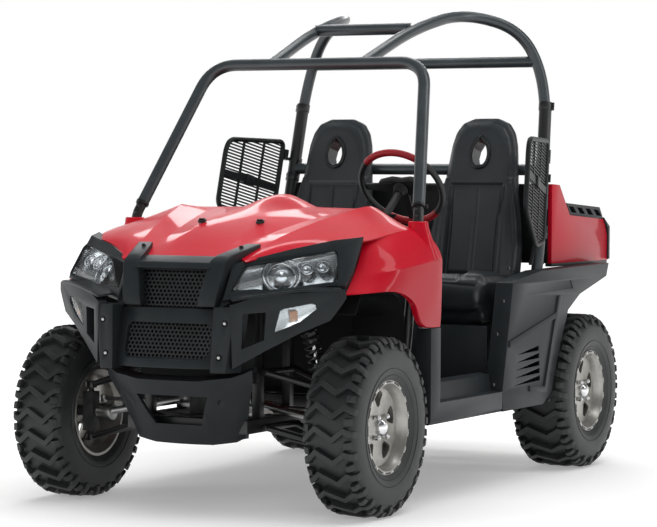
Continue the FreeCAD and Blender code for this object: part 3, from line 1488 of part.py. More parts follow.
BED_SIDE_SHARES = [
    (0.0, 0.0), (0.0, 1.0), (0.128, 0.99), (0.31, 0.604), (0.91, 0.542), (0.95, 0.435),
    (1.0, 0.241), (1.0, 0.0),
]
BED_RAIL_SHARES = [(0.25, 0.76), (0.84, 0.7), (0.91, 0.543), (0.312, 0.6048)]
RAIL_SLOTS = 4
SLOT_SHARES = [(0.3, 0.25), (0.12, 0.75), (0.7, 0.75), (0.88, 0.25)]


def make_bed_side(name, side):
    """The coloured outer side, with the pin that the tailgate turns on."""
    points = outline(BED_SIDE_SHARES, (s.bed_front, s.bed_bottom),
                     (s.bed_rear - s.bed_front, s.bed_side_height))
    skin = side_slab(name + "_skin", side, points, s.bed_half_width, s.bed_skin)
    pin = rod(name + "_pin", (side * s.bed_half_width, s.gate_y, s.gate_z), X_AXIS * -side,
              s.bed_half_width - TAILGATE_HALF_WIDTH + s.tailgate_pin_depth, s.gate_pin_radius)
    return fuse(name, [skin, pin])


def make_bed_rail(name, side):
    points = outline(BED_RAIL_SHARES, (s.bed_front, s.bed_bottom),
                     (s.bed_rear - s.bed_front, s.bed_side_height))
    bar = side_slab(name + "_bar", side, points, s.bed_half_width, s.bed_rail_width)
    upper_front, upper_rear, lower_rear, lower_front = points
    slots = []
    for index in range(RAIL_SLOTS):
        corners = []
        for run, rise in SLOT_SHARES:
            share = (index + run) / RAIL_SLOTS
            corners.append(along(along(lower_front, lower_rear, share),
                                 along(upper_front, upper_rear, share), rise))
        slots.append(side_slab(f"{name}_slot_{index}", side, corners, s.bed_half_width + s.overrun,
                               s.bed_rail_width + s.overrun * 2))
    return cut(name, bar, slots)


def make_bed():
    inner = s.bed_half_width - s.bed_skin - s.seat_gap
    rear = s.bed_rear - s.bed_floor_setback
    floor_top = s.bed_bottom + s.bed_wall
    wall_top = s.bed_bottom + s.bed_wall_height
    floor = span_box("bed_floor", (-inner, inner), (s.bed_front, rear), (s.bed_bottom, floor_top))
    front = span_box("bed_front_wall", (-inner, inner), (s.bed_front, s.bed_front + s.bed_wall),
                     (s.bed_bottom, s.bed_bottom + s.bed_side_height))
    parts = [floor, front]
    for word, side in SIDES.items():
        reach = (inner - s.bed_wall, inner) if side > 0 else (-inner, -inner + s.bed_wall)
        parts.append(span_box(f"bed_{word}_wall", reach, (s.bed_front, rear),
                              (s.bed_bottom, wall_top)))
        x = side * s.rail_x
        start = x + side * (s.tower_size / 2 + s.seat_gap)
        eye = rod(f"bed_{word}_eye", (start, BED_PIVOT_Y, s.bed_pivot_z), X_AXIS * side,
                  s.bed_eye_length, s.bed_eye_radius)
        web = span_box(f"bed_{word}_web",
                       (start, start + s.bed_eye_length) if side > 0 else (
                           start - s.bed_eye_length, start),
                       (BED_PIVOT_Y - s.bed_eye_radius, BED_PIVOT_Y + s.bed_eye_radius),
                       (s.bed_pivot_z, s.bed_bottom))
        parts += [eye, web]
    bore = rod("bed_bore", (-s.outrigger_half_width, BED_PIVOT_Y, s.bed_pivot_z), X_AXIS,
               s.outrigger_half_width * 2, s.bed_pin_radius + s.running_fit)
    node("bed_box", cut("bed_box", fuse("bed_walls", parts), [bore]))
    node("bed_sides", pair("bed_sides", make_bed_side))
    node("bed_rails", pair("bed_rails", make_bed_rail))
    lamps = [span_box(f"{word}_tail_lamp",
                      (side * s.bed_half_width - s.bed_skin if side > 0 else -s.bed_half_width,
                       s.bed_half_width if side > 0 else -s.bed_half_width + s.bed_skin),
                      (s.bed_rear, s.bed_rear + s.tail_lamp_depth),
                      (s.bed_bottom + s.bed_skin, s.bed_bottom + s.bed_skin + s.tail_lamp_height))
             for word, side in SIDES.items()]
    node("tail_lamps", group("tail_lamps", lamps))
    panel = span_box("tailgate_panel", (-TAILGATE_HALF_WIDTH, TAILGATE_HALF_WIDTH),
                     (s.gate_y - s.tailgate_thickness / 2, s.gate_y + s.tailgate_thickness / 2),
                     (s.gate_z - s.tailgate_thickness / 2, s.gate_z + s.tailgate_height))
    hole = rod("tailgate_bore", (-s.bed_half_width, s.gate_y, s.gate_z), X_AXIS,
               s.bed_half_width * 2, s.gate_pin_radius + s.running_fit)
    node("tailgate", cut("tailgate", panel, [hole]))


def make_bed_hinges():
    """Posts at the tail of the frame with the pins that the bed tips on."""
    half = s.tower_size / 2
    parts = []
    for word, side in SIDES.items():
        x = side * s.rail_x
        post = span_box(f"{word}_hinge_post", (x - half, x + half),
                        (BED_PIVOT_Y - half, BED_PIVOT_Y + half),
                        (s.rail_bottom + s.rail_size, s.bed_pivot_z + half))
        pin = rod(f"{word}_hinge_pin", (x, BED_PIVOT_Y, s.bed_pivot_z), X_AXIS * side,
                  half + s.seat_gap + s.bed_eye_length, s.bed_pin_radius)
        parts.append(fuse(word + "_bed_hinge", [post, pin]))
    node("bed_hinges", group("bed_hinges", parts))


# Side guards: hinged frames beside the seats

GATE_SHARES = [
    # Forward from the hinge bar, then up: the loop of tube round the guard
    (0.045, 0.98), (0.95, 0.82), (1.0, 0.72), (1.0, 0.16), (0.42, -0.1), (0.045, 0.0),
]
GATE_EYE_SHARES = [0.1, 0.84]
GATE_SPLAY_SHARE = 0.2
WEB_SHARE = 0.8


def post_axes(side):
    """Up along the rear post, and the two directions across it that the hinge and guard follow."""
    up = (vector(on_post(side, s.post_top_z)) - vector(on_post(side, s.post_z))).normalize()
    forward = FreeCAD.Vector(side * GATE_SPLAY_SHARE, -1, 0)
    forward = (forward - up * forward.dot(up)).normalize()
    return up, forward


def gate_frame(side):
    """The guard's own frame: its origin on the hinge pin, x forward, z up the post."""
    up, forward = post_axes(side)
    base = on_post(side, s.gate_base_z)
    outward = (FreeCAD.Vector(side, -1, 0) - up * FreeCAD.Vector(side, -1, 0).dot(up)).normalize()
    pin = tuple(a + s.gate_offset * b for a, b in zip(base, outward))
    across = up.cross(forward)
    matrix = FreeCAD.Matrix(forward.x, across.x, up.x, 0, forward.y, across.y, up.y, 0,
                            forward.z, across.z, up.z, 0, 0, 0, 0, 1)
    return pin, FreeCAD.Rotation(matrix), outward, up


def make_gate(name, side):
    """A loop of tube filled with a flat mesh, on two sleeves that turn on the post's pins."""
    points = [(x, 0, z) for x, z in outline(GATE_SHARES, (0, 0), (s.gate_reach, s.gate_height))]
    bar_x = s.gate_eye_radius + s.gate_tube_radius + s.panel
    points[0] = (bar_x, 0, points[0][2])
    points[-1] = (bar_x, 0, points[-1][2])
    loop = tube(name + "_loop", points, s.gate_tube_radius, s.gate_bend)
    bar = strut(name + "_bar", points[-1], points[0], s.gate_tube_radius)
    mesh = slab(name + "_mesh", "XZ_Plane", [(x, z) for x, y, z in points],
                -s.gate_mesh_thickness / 2, s.gate_mesh_thickness)
    sleeves = []
    holes = []
    for index, share in enumerate(GATE_EYE_SHARES):
        level = s.gate_height * share
        sleeves.append(rod(f"{name}_sleeve_{index}", (0, 0, level), Z_AXIS, s.gate_eye_length,
                           s.gate_eye_radius))
        sleeves.append(span_box(f"{name}_tab_{index}", (0, bar_x), (-s.panel / 2, s.panel / 2),
                                (level, level + s.gate_eye_length)))
        holes.append(rod(f"{name}_sleeve_hole_{index}", (0, 0, level - s.overrun), Z_AXIS,
                         s.gate_eye_length + s.overrun * 2, s.gate_pin_radius + s.running_fit))
    gate = cut(name, fuse(name + "_frame", [loop, bar, mesh, *sleeves]), holes)
    pin, turn, _, _ = gate_frame(side)
    put(gate, pin, turn)
    return gate


def make_gate_clamp(name, side, share):
    """A collar round the post with a lug under the guard's sleeve and the pin that it turns on."""
    pin, turn, outward, up = gate_frame(side)
    level = s.gate_height * share - s.seat_gap
    base = on_post(side, s.gate_base_z)
    foot = tuple(a + (level - s.clamp_height) * b for a, b in zip(base, up))
    axis = tuple(a + (level - s.clamp_height) * b for a, b in zip(pin, up))
    spin = FreeCAD.Rotation(Z_AXIS, up)
    collar = doc.addObject("Part::Cylinder", name + "_collar")
    bind(collar, "Radius", s.cage_radius + s.seat_gap + s.panel)
    bind(collar, "Height", s.clamp_height)
    put(collar, foot, spin)
    lug = strut(name + "_pin", axis,
                tuple(a + (s.clamp_height + s.gate_eye_length) * b for a, b in zip(axis, up)),
                s.gate_pin_radius)
    round_end = strut(name + "_boss", axis, tuple(a + s.clamp_height * b for a, b in zip(axis, up)),
                      s.gate_eye_radius)
    middle = s.clamp_height / 2
    web = strut(name + "_web", tuple(a + middle * b for a, b in zip(foot, up)),
                tuple(a + middle * b for a, b in zip(axis, up)), middle * WEB_SHARE)
    bore = strut(name + "_bore", tuple(a - s.overrun * b for a, b in zip(foot, up)),
                 tuple(a + (s.clamp_height + s.overrun) * b for a, b in zip(foot, up)),
                 s.cage_radius + s.seat_gap)
    return cut(name, fuse(name + "_solid", [collar, lug, round_end, web]), [bore])


def make_guards():
    for word, side in SIDES.items():
        node(word + "_gate", make_gate(word + "_gate", side))
    clamps = [make_gate_clamp(f"{word}_clamp_{index}", side, share)
              for word, side in SIDES.items() for index, share in enumerate(GATE_EYE_SHARES)]
    node("cage_fittings", group("cage_fittings", clamps))


make_wheels()
make_suspension()
make_steering()
make_drive_line()
make_frame()
make_receiver()
make_tub()
make_panels()
make_seats()
make_steering_wheel()
make_cage()
make_bed()
make_bed_hinges()
make_guards()
doc.recompute()

for thing in doc.Objects:
    if {"Invalid", "Error"} & set(thing.State):
        raise RuntimeError(f"{thing.Label} failed: {thing.State}")
for part in NODES:
    if part.Shape.isNull() or not part.Shape.isValid():
        raise RuntimeError(f"{part.Label} is not a valid shape")

os.makedirs("parts", exist_ok=True)
for part in NODES:
    part.Shape.exportStep(os.path.join("parts", part.Label + ".step"))
print(len(NODES), "sub-parts")
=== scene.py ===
# %% [markdown]
# # A side by side utility vehicle, dressed for its portrait
#
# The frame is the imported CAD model: every piece at its real size and place. This lesson gives
# each piece the look of the real one. A CAD solid has sharp edges and flat facets, and real
# mouldings, castings and pressings don't, so most pieces are redrawn with soft edges, and those
# that give the vehicle its face are modelled anew around the same places.

# %% Load the frame
import json
import math

import bpy
import numpy as np
from mathutils import Matrix, Vector


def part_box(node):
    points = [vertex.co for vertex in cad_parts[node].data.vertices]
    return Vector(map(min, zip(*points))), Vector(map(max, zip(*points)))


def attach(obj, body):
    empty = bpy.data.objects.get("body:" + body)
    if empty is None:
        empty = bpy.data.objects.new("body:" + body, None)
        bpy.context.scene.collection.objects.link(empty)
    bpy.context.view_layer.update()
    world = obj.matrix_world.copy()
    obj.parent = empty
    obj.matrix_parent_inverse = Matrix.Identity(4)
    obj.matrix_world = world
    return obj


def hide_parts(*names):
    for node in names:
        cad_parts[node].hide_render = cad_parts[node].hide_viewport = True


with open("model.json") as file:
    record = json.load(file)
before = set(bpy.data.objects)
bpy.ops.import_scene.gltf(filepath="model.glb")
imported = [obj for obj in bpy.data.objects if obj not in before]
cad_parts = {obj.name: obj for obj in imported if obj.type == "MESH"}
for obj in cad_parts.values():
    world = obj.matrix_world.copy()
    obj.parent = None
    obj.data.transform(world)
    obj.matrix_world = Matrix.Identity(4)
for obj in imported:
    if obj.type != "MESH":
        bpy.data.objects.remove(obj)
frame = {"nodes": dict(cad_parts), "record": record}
record = frame["record"]
slots = {row["node"]: row["material_slot"] for row in record["subparts"]}
body_of = {node: body for body, nodes in record["behaviour"]["bodies"].items() for node in nodes}
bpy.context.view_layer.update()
MM = 0.001
SIDES = {"left": 1, "right": -1}

# %% [markdown]
# ## Working habits
#
# Blender's operators act on whatever is selected, so each step first selects exactly what it
# means to change. A few short helpers keep that habit in one place: pick objects, work inside
# edit mode, apply a modifier, and hand a finished piece to the body that carries it. Every
# object stays at the origin, and its place is in its mesh.

# %% Selecting and editing
def pick(*things):
    """Selects these objects and nothing else; the first becomes the active one."""
    if bpy.context.object and bpy.context.object.mode != "OBJECT":
        bpy.ops.object.mode_set(mode="OBJECT")
    bpy.ops.object.select_all(action="DESELECT")
    for thing in things:
        thing.select_set(True)
    if things:
        bpy.context.view_layer.objects.active = things[0]


def choose(thing, part, test):
    """Selects the vertices, edges or faces that pass a test, and nothing else."""
    pick(thing)
    bpy.ops.object.mode_set(mode="EDIT")
    bpy.ops.mesh.select_mode(type=part)
    bpy.ops.mesh.select_all(action="DESELECT")
    bpy.ops.object.mode_set(mode="OBJECT")
    mesh = thing.data
    items = {"VERT": mesh.vertices, "EDGE": mesh.edges, "FACE": mesh.polygons}[part]
    for item in items:
        item.select = bool(test(item))
    return thing


def act(thing, *steps):
    """Runs edit-mode steps on what is selected in one mesh."""
    pick(thing)
    bpy.ops.object.mode_set(mode="EDIT")
    for step in steps:
        step()
    bpy.ops.object.mode_set(mode="OBJECT")
    return thing


def edit(thing, *steps):
    """Runs edit-mode steps on the whole of one mesh."""
    return act(thing, lambda: bpy.ops.mesh.select_all(action="SELECT"), *steps)


def apply_modifier(thing, kind, **settings):
    """Adds a modifier with its settings and applies it at once."""
    pick(thing)
    modifier = thing.modifiers.new(kind.title(), kind)
    for name, value in settings.items():
        setattr(modifier, name, value)
    bpy.ops.object.modifier_apply(modifier=modifier.name)
    return thing


def smoothed(thing, angle=40):
    pick(thing)
    bpy.ops.object.shade_smooth_by_angle(angle=math.radians(angle))
    return thing


def soften(thing, width=1.5, segments=2, angle=32):
    """Rounds the sharp edges by a width in millimetres, as a mould or a bend leaves them."""
    apply_modifier(thing, "BEVEL", width=width * MM, segments=segments, limit_method="ANGLE",
                   angle_limit=math.radians(angle), harden_normals=False)
    return smoothed(thing, angle)


def carve(thing, *cutters):
    for cutter in cutters:
        apply_modifier(thing, "BOOLEAN", operation="DIFFERENCE", solver="EXACT", object=cutter)
        bpy.data.objects.remove(cutter)
    return thing


def copied(thing):
    copy = thing.copy()
    copy.data = thing.data.copy()
    bpy.context.scene.collection.objects.link(copy)
    return copy


def joined(*things):
    pick(*things)
    bpy.ops.object.join()
    return bpy.context.object


def moved(thing, matrix):
    """Turns and shifts the mesh itself, so that the object stays at the origin."""
    thing.data.transform(matrix)
    return thing


def turn(axis, degrees):
    return Matrix.Rotation(math.radians(degrees), 4, axis)


def shift(x, y, z):
    """A move in millimetres."""
    return Matrix.Translation(Vector((x, y, z)) * MM)


def hand_over(thing, name, material, *nodes, slot=None, body="chassis"):
    """Names a finished piece, gives it its finish and lets it ride on the body that carries it."""
    thing.name = name
    thing.data.name = name
    thing.data.materials.clear()
    thing.data.materials.append(material)
    slot or slot_of[material.name]
    if nodes:
        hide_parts(*nodes)
    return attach(thing, body)


# %% [markdown]
# ## Redrawing a CAD solid
#
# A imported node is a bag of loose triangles. A copy of it is merged into one skin, the flat
# faces are dissolved back into single faces, and the edges are rounded by a millimetre or more.
# That thin highlight along each edge is what tells the eye that the piece was moulded or welded
# and not cut from paper.

# %% Redraw a node with soft edges
def redraw(node, material, width=1.5, *cutters):
    """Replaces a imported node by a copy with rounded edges, less what the cutters take away."""
    copy = copied(frame["nodes"][node])
    copy.parent = None
    for key in list(copy.keys()):
        del copy[key]
    edit(copy, lambda: bpy.ops.mesh.remove_doubles(threshold=0.02 * MM),
         lambda: bpy.ops.mesh.dissolve_limited(angle_limit=math.radians(1)))
    soften(carve(copy, *cutters), width)
    return hand_over(copy, node + "_finished", material, node, slot=slots[node],
                     body=body_of[node])


# %% [markdown]
# ## Materials
#
# Each material starts from a real one and its usual numbers. Colours are written as hex, as a
# paint chart gives them, and one function turns them into the linear light that the shader
# needs. One more function adds a node, sets it and links it. Every surface has a colour that
# drifts between two near shades and a fine grain, and their sizes are written in millimetres.

# %% Colour and node helpers
def linear(hex_colour):
    values = [int(hex_colour[start:start + 2], 16) / 255 for start in (1, 3, 5)]
    return tuple(v / 12.92 if v <= 0.04045 else ((v + 0.055) / 1.055) ** 2.4
                 for v in values) + (1,)


def add_node(material, kind, links=(), **settings):
    """Adds a node; links are (input, node, output) and settings are inputs or properties."""
    node = material.node_tree.nodes.new(kind)
    for key, value in settings.items():
        name = key.replace("_", " ")
        if name in node.inputs:
            node.inputs[name].default_value = value
        else:
            setattr(node, key, value)
    for target, source, output in links:
        material.node_tree.links.new(source.outputs[output], node.inputs[target])
    return node


def wire(owner, source, output, target, entry):
    owner.node_tree.links.new(source.outputs[output], target.inputs[entry])


def finish_of(name, colour, roughness, metallic=0.0, ior=1.5, **more):
    """A material with its shader ready; more are the shader's other inputs, by name."""
    material = bpy.data.materials.new(name)
    material.use_nodes = True
    shader = material.node_tree.nodes["Principled BSDF"]
    values = {"Base Color": linear(colour), "Roughness": roughness, "Metallic": metallic,
              "IOR": ior}
    values.update({key.replace("_", " "): value for key, value in more.items()})
    for key, value in values.items():
        shader.inputs[key].default_value = value
    return material, shader


def grain(material, shader, size, depth, kind="ShaderNodeTexNoise", **settings):
    """A raised grain of a given size in millimetres, on the piece's own coordinates."""
    place = add_node(material, "ShaderNodeTexCoord")
    texture = add_node(material, kind, [("Vector", place, "Object")], Scale=1 / (size * MM),
                       **settings)
    output = "Fac" if "Fac" in texture.outputs else "Distance"
    bump = add_node(material, "ShaderNodeBump", [("Height", texture, output)],
                    Distance=depth * MM, Strength=1.0)
    wire(material, bump, "Normal", shader, "Normal")
    return texture


def mottle(material, shader, size, colours):
    """Lets the base colour drift between two near shades, as dust and handling do."""
    place = add_node(material, "ShaderNodeTexCoord")
    noise = add_node(material, "ShaderNodeTexNoise", [("Vector", place, "Object")],
                     Scale=1 / (size * MM), Detail=4.0)
    ramp = add_node(material, "ShaderNodeValToRGB", [("Fac", noise, "Fac")])
    for element, position, colour in zip(ramp.color_ramp.elements, (0.3, 0.7), colours):
        element.position = position
        element.color = linear(colour)
    wire(material, ramp, "Color", shader, "Base Color")


def surface(name, colours, roughness, patches, size, depth, texture, **more):
    """A finish with its patches of colour and its grain; texture is what the grain needs."""
    material, shader = finish_of(name, colours[0], roughness, **more)
    mottle(material, shader, patches, colours)
    grain(material, shader, size, depth, **texture)
    return material


# %% [markdown]
# ### Gloss red paint
#
# The body panels are moulded plastic, painted and lacquered. The eye sees a deep red under a
# hard clear coat, with a faint ripple in the reflections that painters call orange peel.

# %% Gloss red lacquer
red_paint = surface("gloss red lacquer on moulded plastic", ("#BE0A22", "#C80C28"), 0.4, 300, 9,
                    0.02, {"Detail": 1.0}, Coat_Weight=0.3, Coat_Roughness=0.06,
                    Specular_IOR_Level=0.1)

# %% [markdown]
# ### Grained black plastic
#
# The fascia, bumpers and lower panels are polypropylene, moulded against an etched tool. Its
# fine grain scatters the light, so the plastic looks dark grey where the sky falls on it, with a
# slightly greyer bloom where hands and dust have been.

# %% Grained polypropylene
def grained_polypropylene(name, colours, roughness, size=2.2):
    return surface(name, colours, roughness, 120, size, 0.08, {"Detail": 3.0, "Roughness": 0.6},
                   Specular_IOR_Level=0.2)


fascia_plastic = grained_polypropylene("grained dark grey polypropylene", ("#24282A", "#2B2F32"),
                                       0.4)
floor_plastic = grained_polypropylene("matt black polypropylene", ("#151617", "#1B1C1D"), 0.55)
guard_plastic = grained_polypropylene("black nylon moulding", ("#1D1F20", "#232526"), 0.4, 1.5)

# %% [markdown]
# ### Painted and bare metal
#
# The cage is powder coated in satin charcoal, the frame and arms in satin black. Castings keep
# the sand's fine pits, machined steel stays bright, and the wheels are cast alloy with a thin
# clear coat. Plated parts carry faint streaks from their bath, which only their gloss shows.

# %% Metal finishes
def powder_coat(name, colours, roughness):
    return surface(name, colours, roughness, 90, 1.4, 0.02, {"Detail": 2.0}, Coat_Weight=0.25,
                   Coat_Roughness=0.3)


def rough_casting(name, colours, roughness, metallic):
    return surface(name, colours, roughness, 40, 2.5, 0.1, {"Detail": 5.0}, metallic=metallic)


def streaked_plate(name, colours, roughness):
    """Plated or machined metal: its colour and its gloss drift a little along the piece."""
    material, shader = finish_of(name, colours[0], roughness, metallic=1.0)
    mottle(material, shader, 25, colours)
    texture = grain(material, shader, size=14, depth=0.01, Detail=3.0)
    gloss = add_node(material, "ShaderNodeMapRange", [("Value", texture, "Fac")],
                     To_Min=roughness * 0.7, To_Max=roughness * 1.5)
    wire(material, gloss, "Result", shader, "Roughness")
    return material


cage_paint = powder_coat("satin charcoal powder coat", ("#30373A", "#394044"), 0.3)
frame_paint = powder_coat("satin black powder coat", ("#131416", "#1A1B1D"), 0.42)
spring_paint = powder_coat("gloss black spring coat", ("#17181A", "#202124"), 0.25)
black_sheet = powder_coat("black powder coat on punched sheet", ("#1B1D1F", "#232527"), 0.4)
cast_iron = rough_casting("grey sand cast iron", ("#3E3F41", "#5A5A5A"), 0.6, 0.6)
cast_alloy = rough_casting("sand cast alloy", ("#A09F9B", "#B6B4AE"), 0.36, 0.85)
bright_steel = streaked_plate("zinc plated steel", ("#A9AAA6", "#B9BABC"), 0.3)
chrome = streaked_plate("bright chrome", ("#DADBDD", "#E6E7E9"), 0.09)
bright_reflector = streaked_plate("vacuum metallised reflector", ("#B4B7BA", "#C6C9CC"), 0.2)


def fin_stack():
    """Black anodised fins, seen as fine upright lines."""
    material, shader = finish_of("black finned radiator core", "#18191B", 0.5, 0.4)
    mottle(material, shader, 60, ("#141517", "#1E1F21"))
    spot = add_node(material, "ShaderNodeTexCoord")
    fins = add_node(material, "ShaderNodeTexWave", [("Vector", spot, "Object")], Scale=120.0,
                    bands_direction="X")
    bump = add_node(material, "ShaderNodeBump", [("Height", fins, "Fac")], Distance=0.002)
    wire(material, bump, "Normal", shader, "Normal")
    return material


radiator_fins = fin_stack()

# %% [markdown]
# ### Rubber, vinyl and lenses
#
# Tyre rubber is matt and slightly dusty in its hollows. Seat vinyl has a leather grain and a
# soft sheen. The lamps are clear acrylic, with the faint ripple that every moulded lens keeps.

# %% Soft and clear finishes
def rubber_compound(name, colours, roughness):
    return surface(name, colours, roughness, 60, 3, 0.1, {"Detail": 4.0})


def leather_grain(name, colours, roughness, depth=0.2):
    return surface(name, colours, roughness, 150, 2.6, depth, {"kind": "ShaderNodeTexVoronoi"})


def moulded_acrylic(name, colour, **more):
    """Acrylic whose gloss face ripples a little where it cooled against the tool."""
    material, shader = finish_of(name, colour, 0.03, ior=1.49, **more)
    grain(material, shader, size=30, depth=0.05, Detail=0.0)
    return material


tyre_rubber = rubber_compound("carbon black tyre rubber", ("#222425", "#2E2F2F"), 0.5)
black_rubber = rubber_compound("soft moulded rubber", ("#151617", "#1D1E1F"), 0.5)
seat_vinyl = leather_grain("leather grain vinyl", ("#262A2D", "#2E3235"), 0.34)
seat_piping = leather_grain("vinyl piping", ("#17191A", "#1D1F21"), 0.34, 0.08)
red_leather = leather_grain("dark red sewn leather", ("#8E1620", "#9C1A24"), 0.42)
clear_acrylic = moulded_acrylic("clear acrylic", "#F4F7F8", Transmission_Weight=1.0)
red_acrylic = moulded_acrylic("red acrylic", "#A3101A", Coat_Weight=1.0)
amber_acrylic = moulded_acrylic("amber acrylic", "#C98A5A")
dark_glass = moulded_acrylic("smoked gauge glass", "#0E1012", Coat_Weight=1.0)

# %% [markdown]
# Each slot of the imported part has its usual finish, which comes first in its group, and further
# finishes for the pieces that are added to it.

# %% Finishes by slot
FINISHES = {
    "red_paint": [red_paint, red_leather], "fascia_plastic": [fascia_plastic, guard_plastic],
    "floor_plastic": [floor_plastic], "cage_paint": [cage_paint],
    "frame_paint": [frame_paint, spring_paint, black_sheet], "cast_iron": [cast_iron],
    "cast_alloy": [cast_alloy], "steel": [bright_steel, chrome], "tyre": [tyre_rubber],
    "seat_vinyl": [seat_vinyl, seat_piping], "black_rubber": [black_rubber],
    "lens": [clear_acrylic, bright_reflector, amber_acrylic, dark_glass],
    "red_lens": [red_acrylic],
}
slot_of = {material.name: slot for slot, group in FINISHES.items() for material in group}

# %% [markdown]
# ## The plain pieces
#
# Rails, arms, shafts and boards keep the CAD's form. They only need their edges rounded and
# their own finish, and one loop does that for all of them. The pieces named here are modelled
# further down, so the loop leaves them out.

# %% Dress the plain nodes
MODELLED = {"hood", "fenders", "front_surround", "grilles", "front_bumper", "bumper_wings",
            "lower_bumper", "headlights", "turn_signals", "quarter_panels", "seat_backs",
            "seat_cushions", "steering_wheel", "steering_column", "cage_sides", "left_gate",
            "right_gate", "shocks", "front_hoop"}
MODELLED |= {node for node in frame["nodes"] if node.endswith(("_tyre", "_rim"))}
SPECIAL = {"radiator": radiator_fins, "seat_box": fascia_plastic}
for node in sorted(set(frame["nodes"]) - MODELLED):
    redraw(node, SPECIAL.get(node, FINISHES[slots[node]][0]))

# %% [markdown]
# ## Shaping helpers for the body
#
# The body is made of two kinds of moulding. A plate is a flat outline pushed into a solid, and a
# skin is a sheet hung on rows of points, as a clay modeller drapes a surface over templates. All
# points are in millimetres. Left and right are made once, on the left, and mirrored.

# %% Plates and blocks
def fresh(add, **settings):
    """A new object from one of Blender's own primitives."""
    pick()
    add(**settings)
    return bpy.context.object


def lay(vertices, points):
    """Puts vertices at points."""
    for vertex, point in zip(vertices, points):
        vertex.co = Vector(point) * MM


def outward(thing):
    """Turns all faces of a closed solid outward."""
    return edit(thing, lambda: bpy.ops.mesh.normals_make_consistent(inside=False))


def extruded(thing, push):
    """Pushes what is selected in a mesh along a vector."""
    return act(thing, lambda: bpy.ops.mesh.extrude_region_move(
        TRANSFORM_OT_translate={"value": Vector(push) * MM}))


def plate(points, push):
    """A flat outline pushed along a vector into a closed solid."""
    thing = fresh(bpy.ops.mesh.primitive_circle_add, vertices=len(points), fill_type="NGON")
    lay(thing.data.vertices, points)
    return outward(extruded(edit(thing), push))


def across(axis, level, pairs):
    """An outline that stands across an axis at a level; pairs are its other two coordinates."""
    place = "XYZ".index(axis)
    return [(*pair[:place], level, *pair[place:]) for pair in pairs]


def board(axis, level, depth, *pairs):
    """A plate with its outline across an axis, and so deep along that axis."""
    return plate(across(axis, level, pairs), [depth * (name == axis) for name in "XYZ"])


def slab(x, y, z, wide, deep, high):
    """A square block from its lowest corner."""
    return board("Y", y, deep, (x, z), (x + wide, z), (x + wide, z + high), (x, z + high))


def loft(foot, head):
    """A closed solid between two outlines that have as many points each."""
    thing = plate(foot, (0, 0, 1))
    lay(list(thing.data.vertices)[len(foot):], head)
    return outward(thing)


def peg(spot, radius, length, sides=24, lean="Y"):
    """A round peg about a place; lean is the axis that its length follows."""
    thing = fresh(bpy.ops.mesh.primitive_cylinder_add, vertices=sides, radius=radius * MM,
                  depth=length * MM)
    tilt = {"X": turn("Y", 90), "Y": turn("X", 90), "Z": turn("Z", 0)}[lean]
    return moved(thing, shift(*spot) @ tilt)


def twin(thing):
    """Adds the mirror image on the vehicle's other side to the same piece."""
    return apply_modifier(thing, "MIRROR", use_mirror_merge=False)


# %% Outlines
def mirrored(half):
    """A closed outline from the pairs of its left half."""
    return list(half) + [(-x, other) for x, other in half[::-1] if x > 0]


def tapered(left, right, low, high, inset):
    """Four corners whose upper edge is shorter by an inset at both ends."""
    return (left, low), (right, low), (right - inset, high), (left + inset, high)


def scaled(outline, middle, wide, high):
    return [(middle[0] + (x - middle[0]) * wide, middle[1] + (z - middle[1]) * high)
            for x, z in outline]


def both(half):
    """A row of points from the left half, completed on the right."""
    return [(-x, y, z) for x, y, z in half[:0:-1]] + list(half)


def rounded(corners, radius, closed=False, steps=6):
    """Rounds the corners of a run of points, as a tube bender does."""
    points = []
    for index, corner in enumerate(corners):
        here = Vector(corner)
        if not closed and index in (0, len(corners) - 1):
            points.append(here)
            continue
        ends = [Vector(corners[index - 1]), Vector(corners[(index + 1) % len(corners)])]
        first, last = [here + (end - here).normalized() * min(radius, (end - here).length * 0.48)
                       for end in ends]
        for step in range(steps + 1):
            share = step / steps
            points.append(first * (1 - share) ** 2 + here * 2 * share * (1 - share)
                          + last * share ** 2)
    return points


# %% Skins and tubes
def skin(rows, wall=4, levels=2, creases=None, row_creases=None, angle=50):
    """A smooth sheet through rows of points; creases say how sharp a column or a row stays."""
    count = len(rows[0])
    thing = fresh(bpy.ops.mesh.primitive_grid_add, x_subdivisions=count - 1,
                  y_subdivisions=len(rows) - 1, size=1)
    lay(thing.data.vertices, [point for row in rows for point in row])
    sharp = thing.data.attributes.new("crease_edge", "FLOAT", "EDGE")
    for edge in thing.data.edges:
        first, second = edge.vertices
        if first % count == second % count:
            sharp.data[edge.index].value = (creases or {}).get(first % count, 0)
        else:
            sharp.data[edge.index].value = (row_creases or {}).get(first // count, 0)
    if levels:
        apply_modifier(thing, "SUBSURF", levels=levels, render_levels=levels,
                       boundary_smooth="PRESERVE_CORNERS")
    apply_modifier(thing, "SOLIDIFY", thickness=wall * MM, offset=-1.0)
    return smoothed(thing, angle)


def tube(points, radius, closed=False, sides=3):
    """A round bar swept along a run of points; a straight bar gets a third point halfway."""
    if len(points) == 2:
        points = [points[0], Vector(points[0]).lerp(Vector(points[1]), 0.5), points[1]]
    path = fresh(bpy.ops.mesh.primitive_circle_add, vertices=len(points), fill_type="NOTHING")
    lay(path.data.vertices, points)
    if not closed:
        ends = {0, len(points) - 1}
        choose(path, "EDGE", lambda edge: set(edge.vertices) == ends)
        act(path, lambda: bpy.ops.mesh.delete(type="EDGE"))
    pick(path)
    bpy.ops.object.convert(target="CURVE")
    path = bpy.context.object
    path.data.bevel_depth = radius * MM
    path.data.bevel_resolution = sides
    path.data.use_fill_caps = True
    bpy.ops.object.convert(target="MESH")
    return smoothed(bpy.context.object)


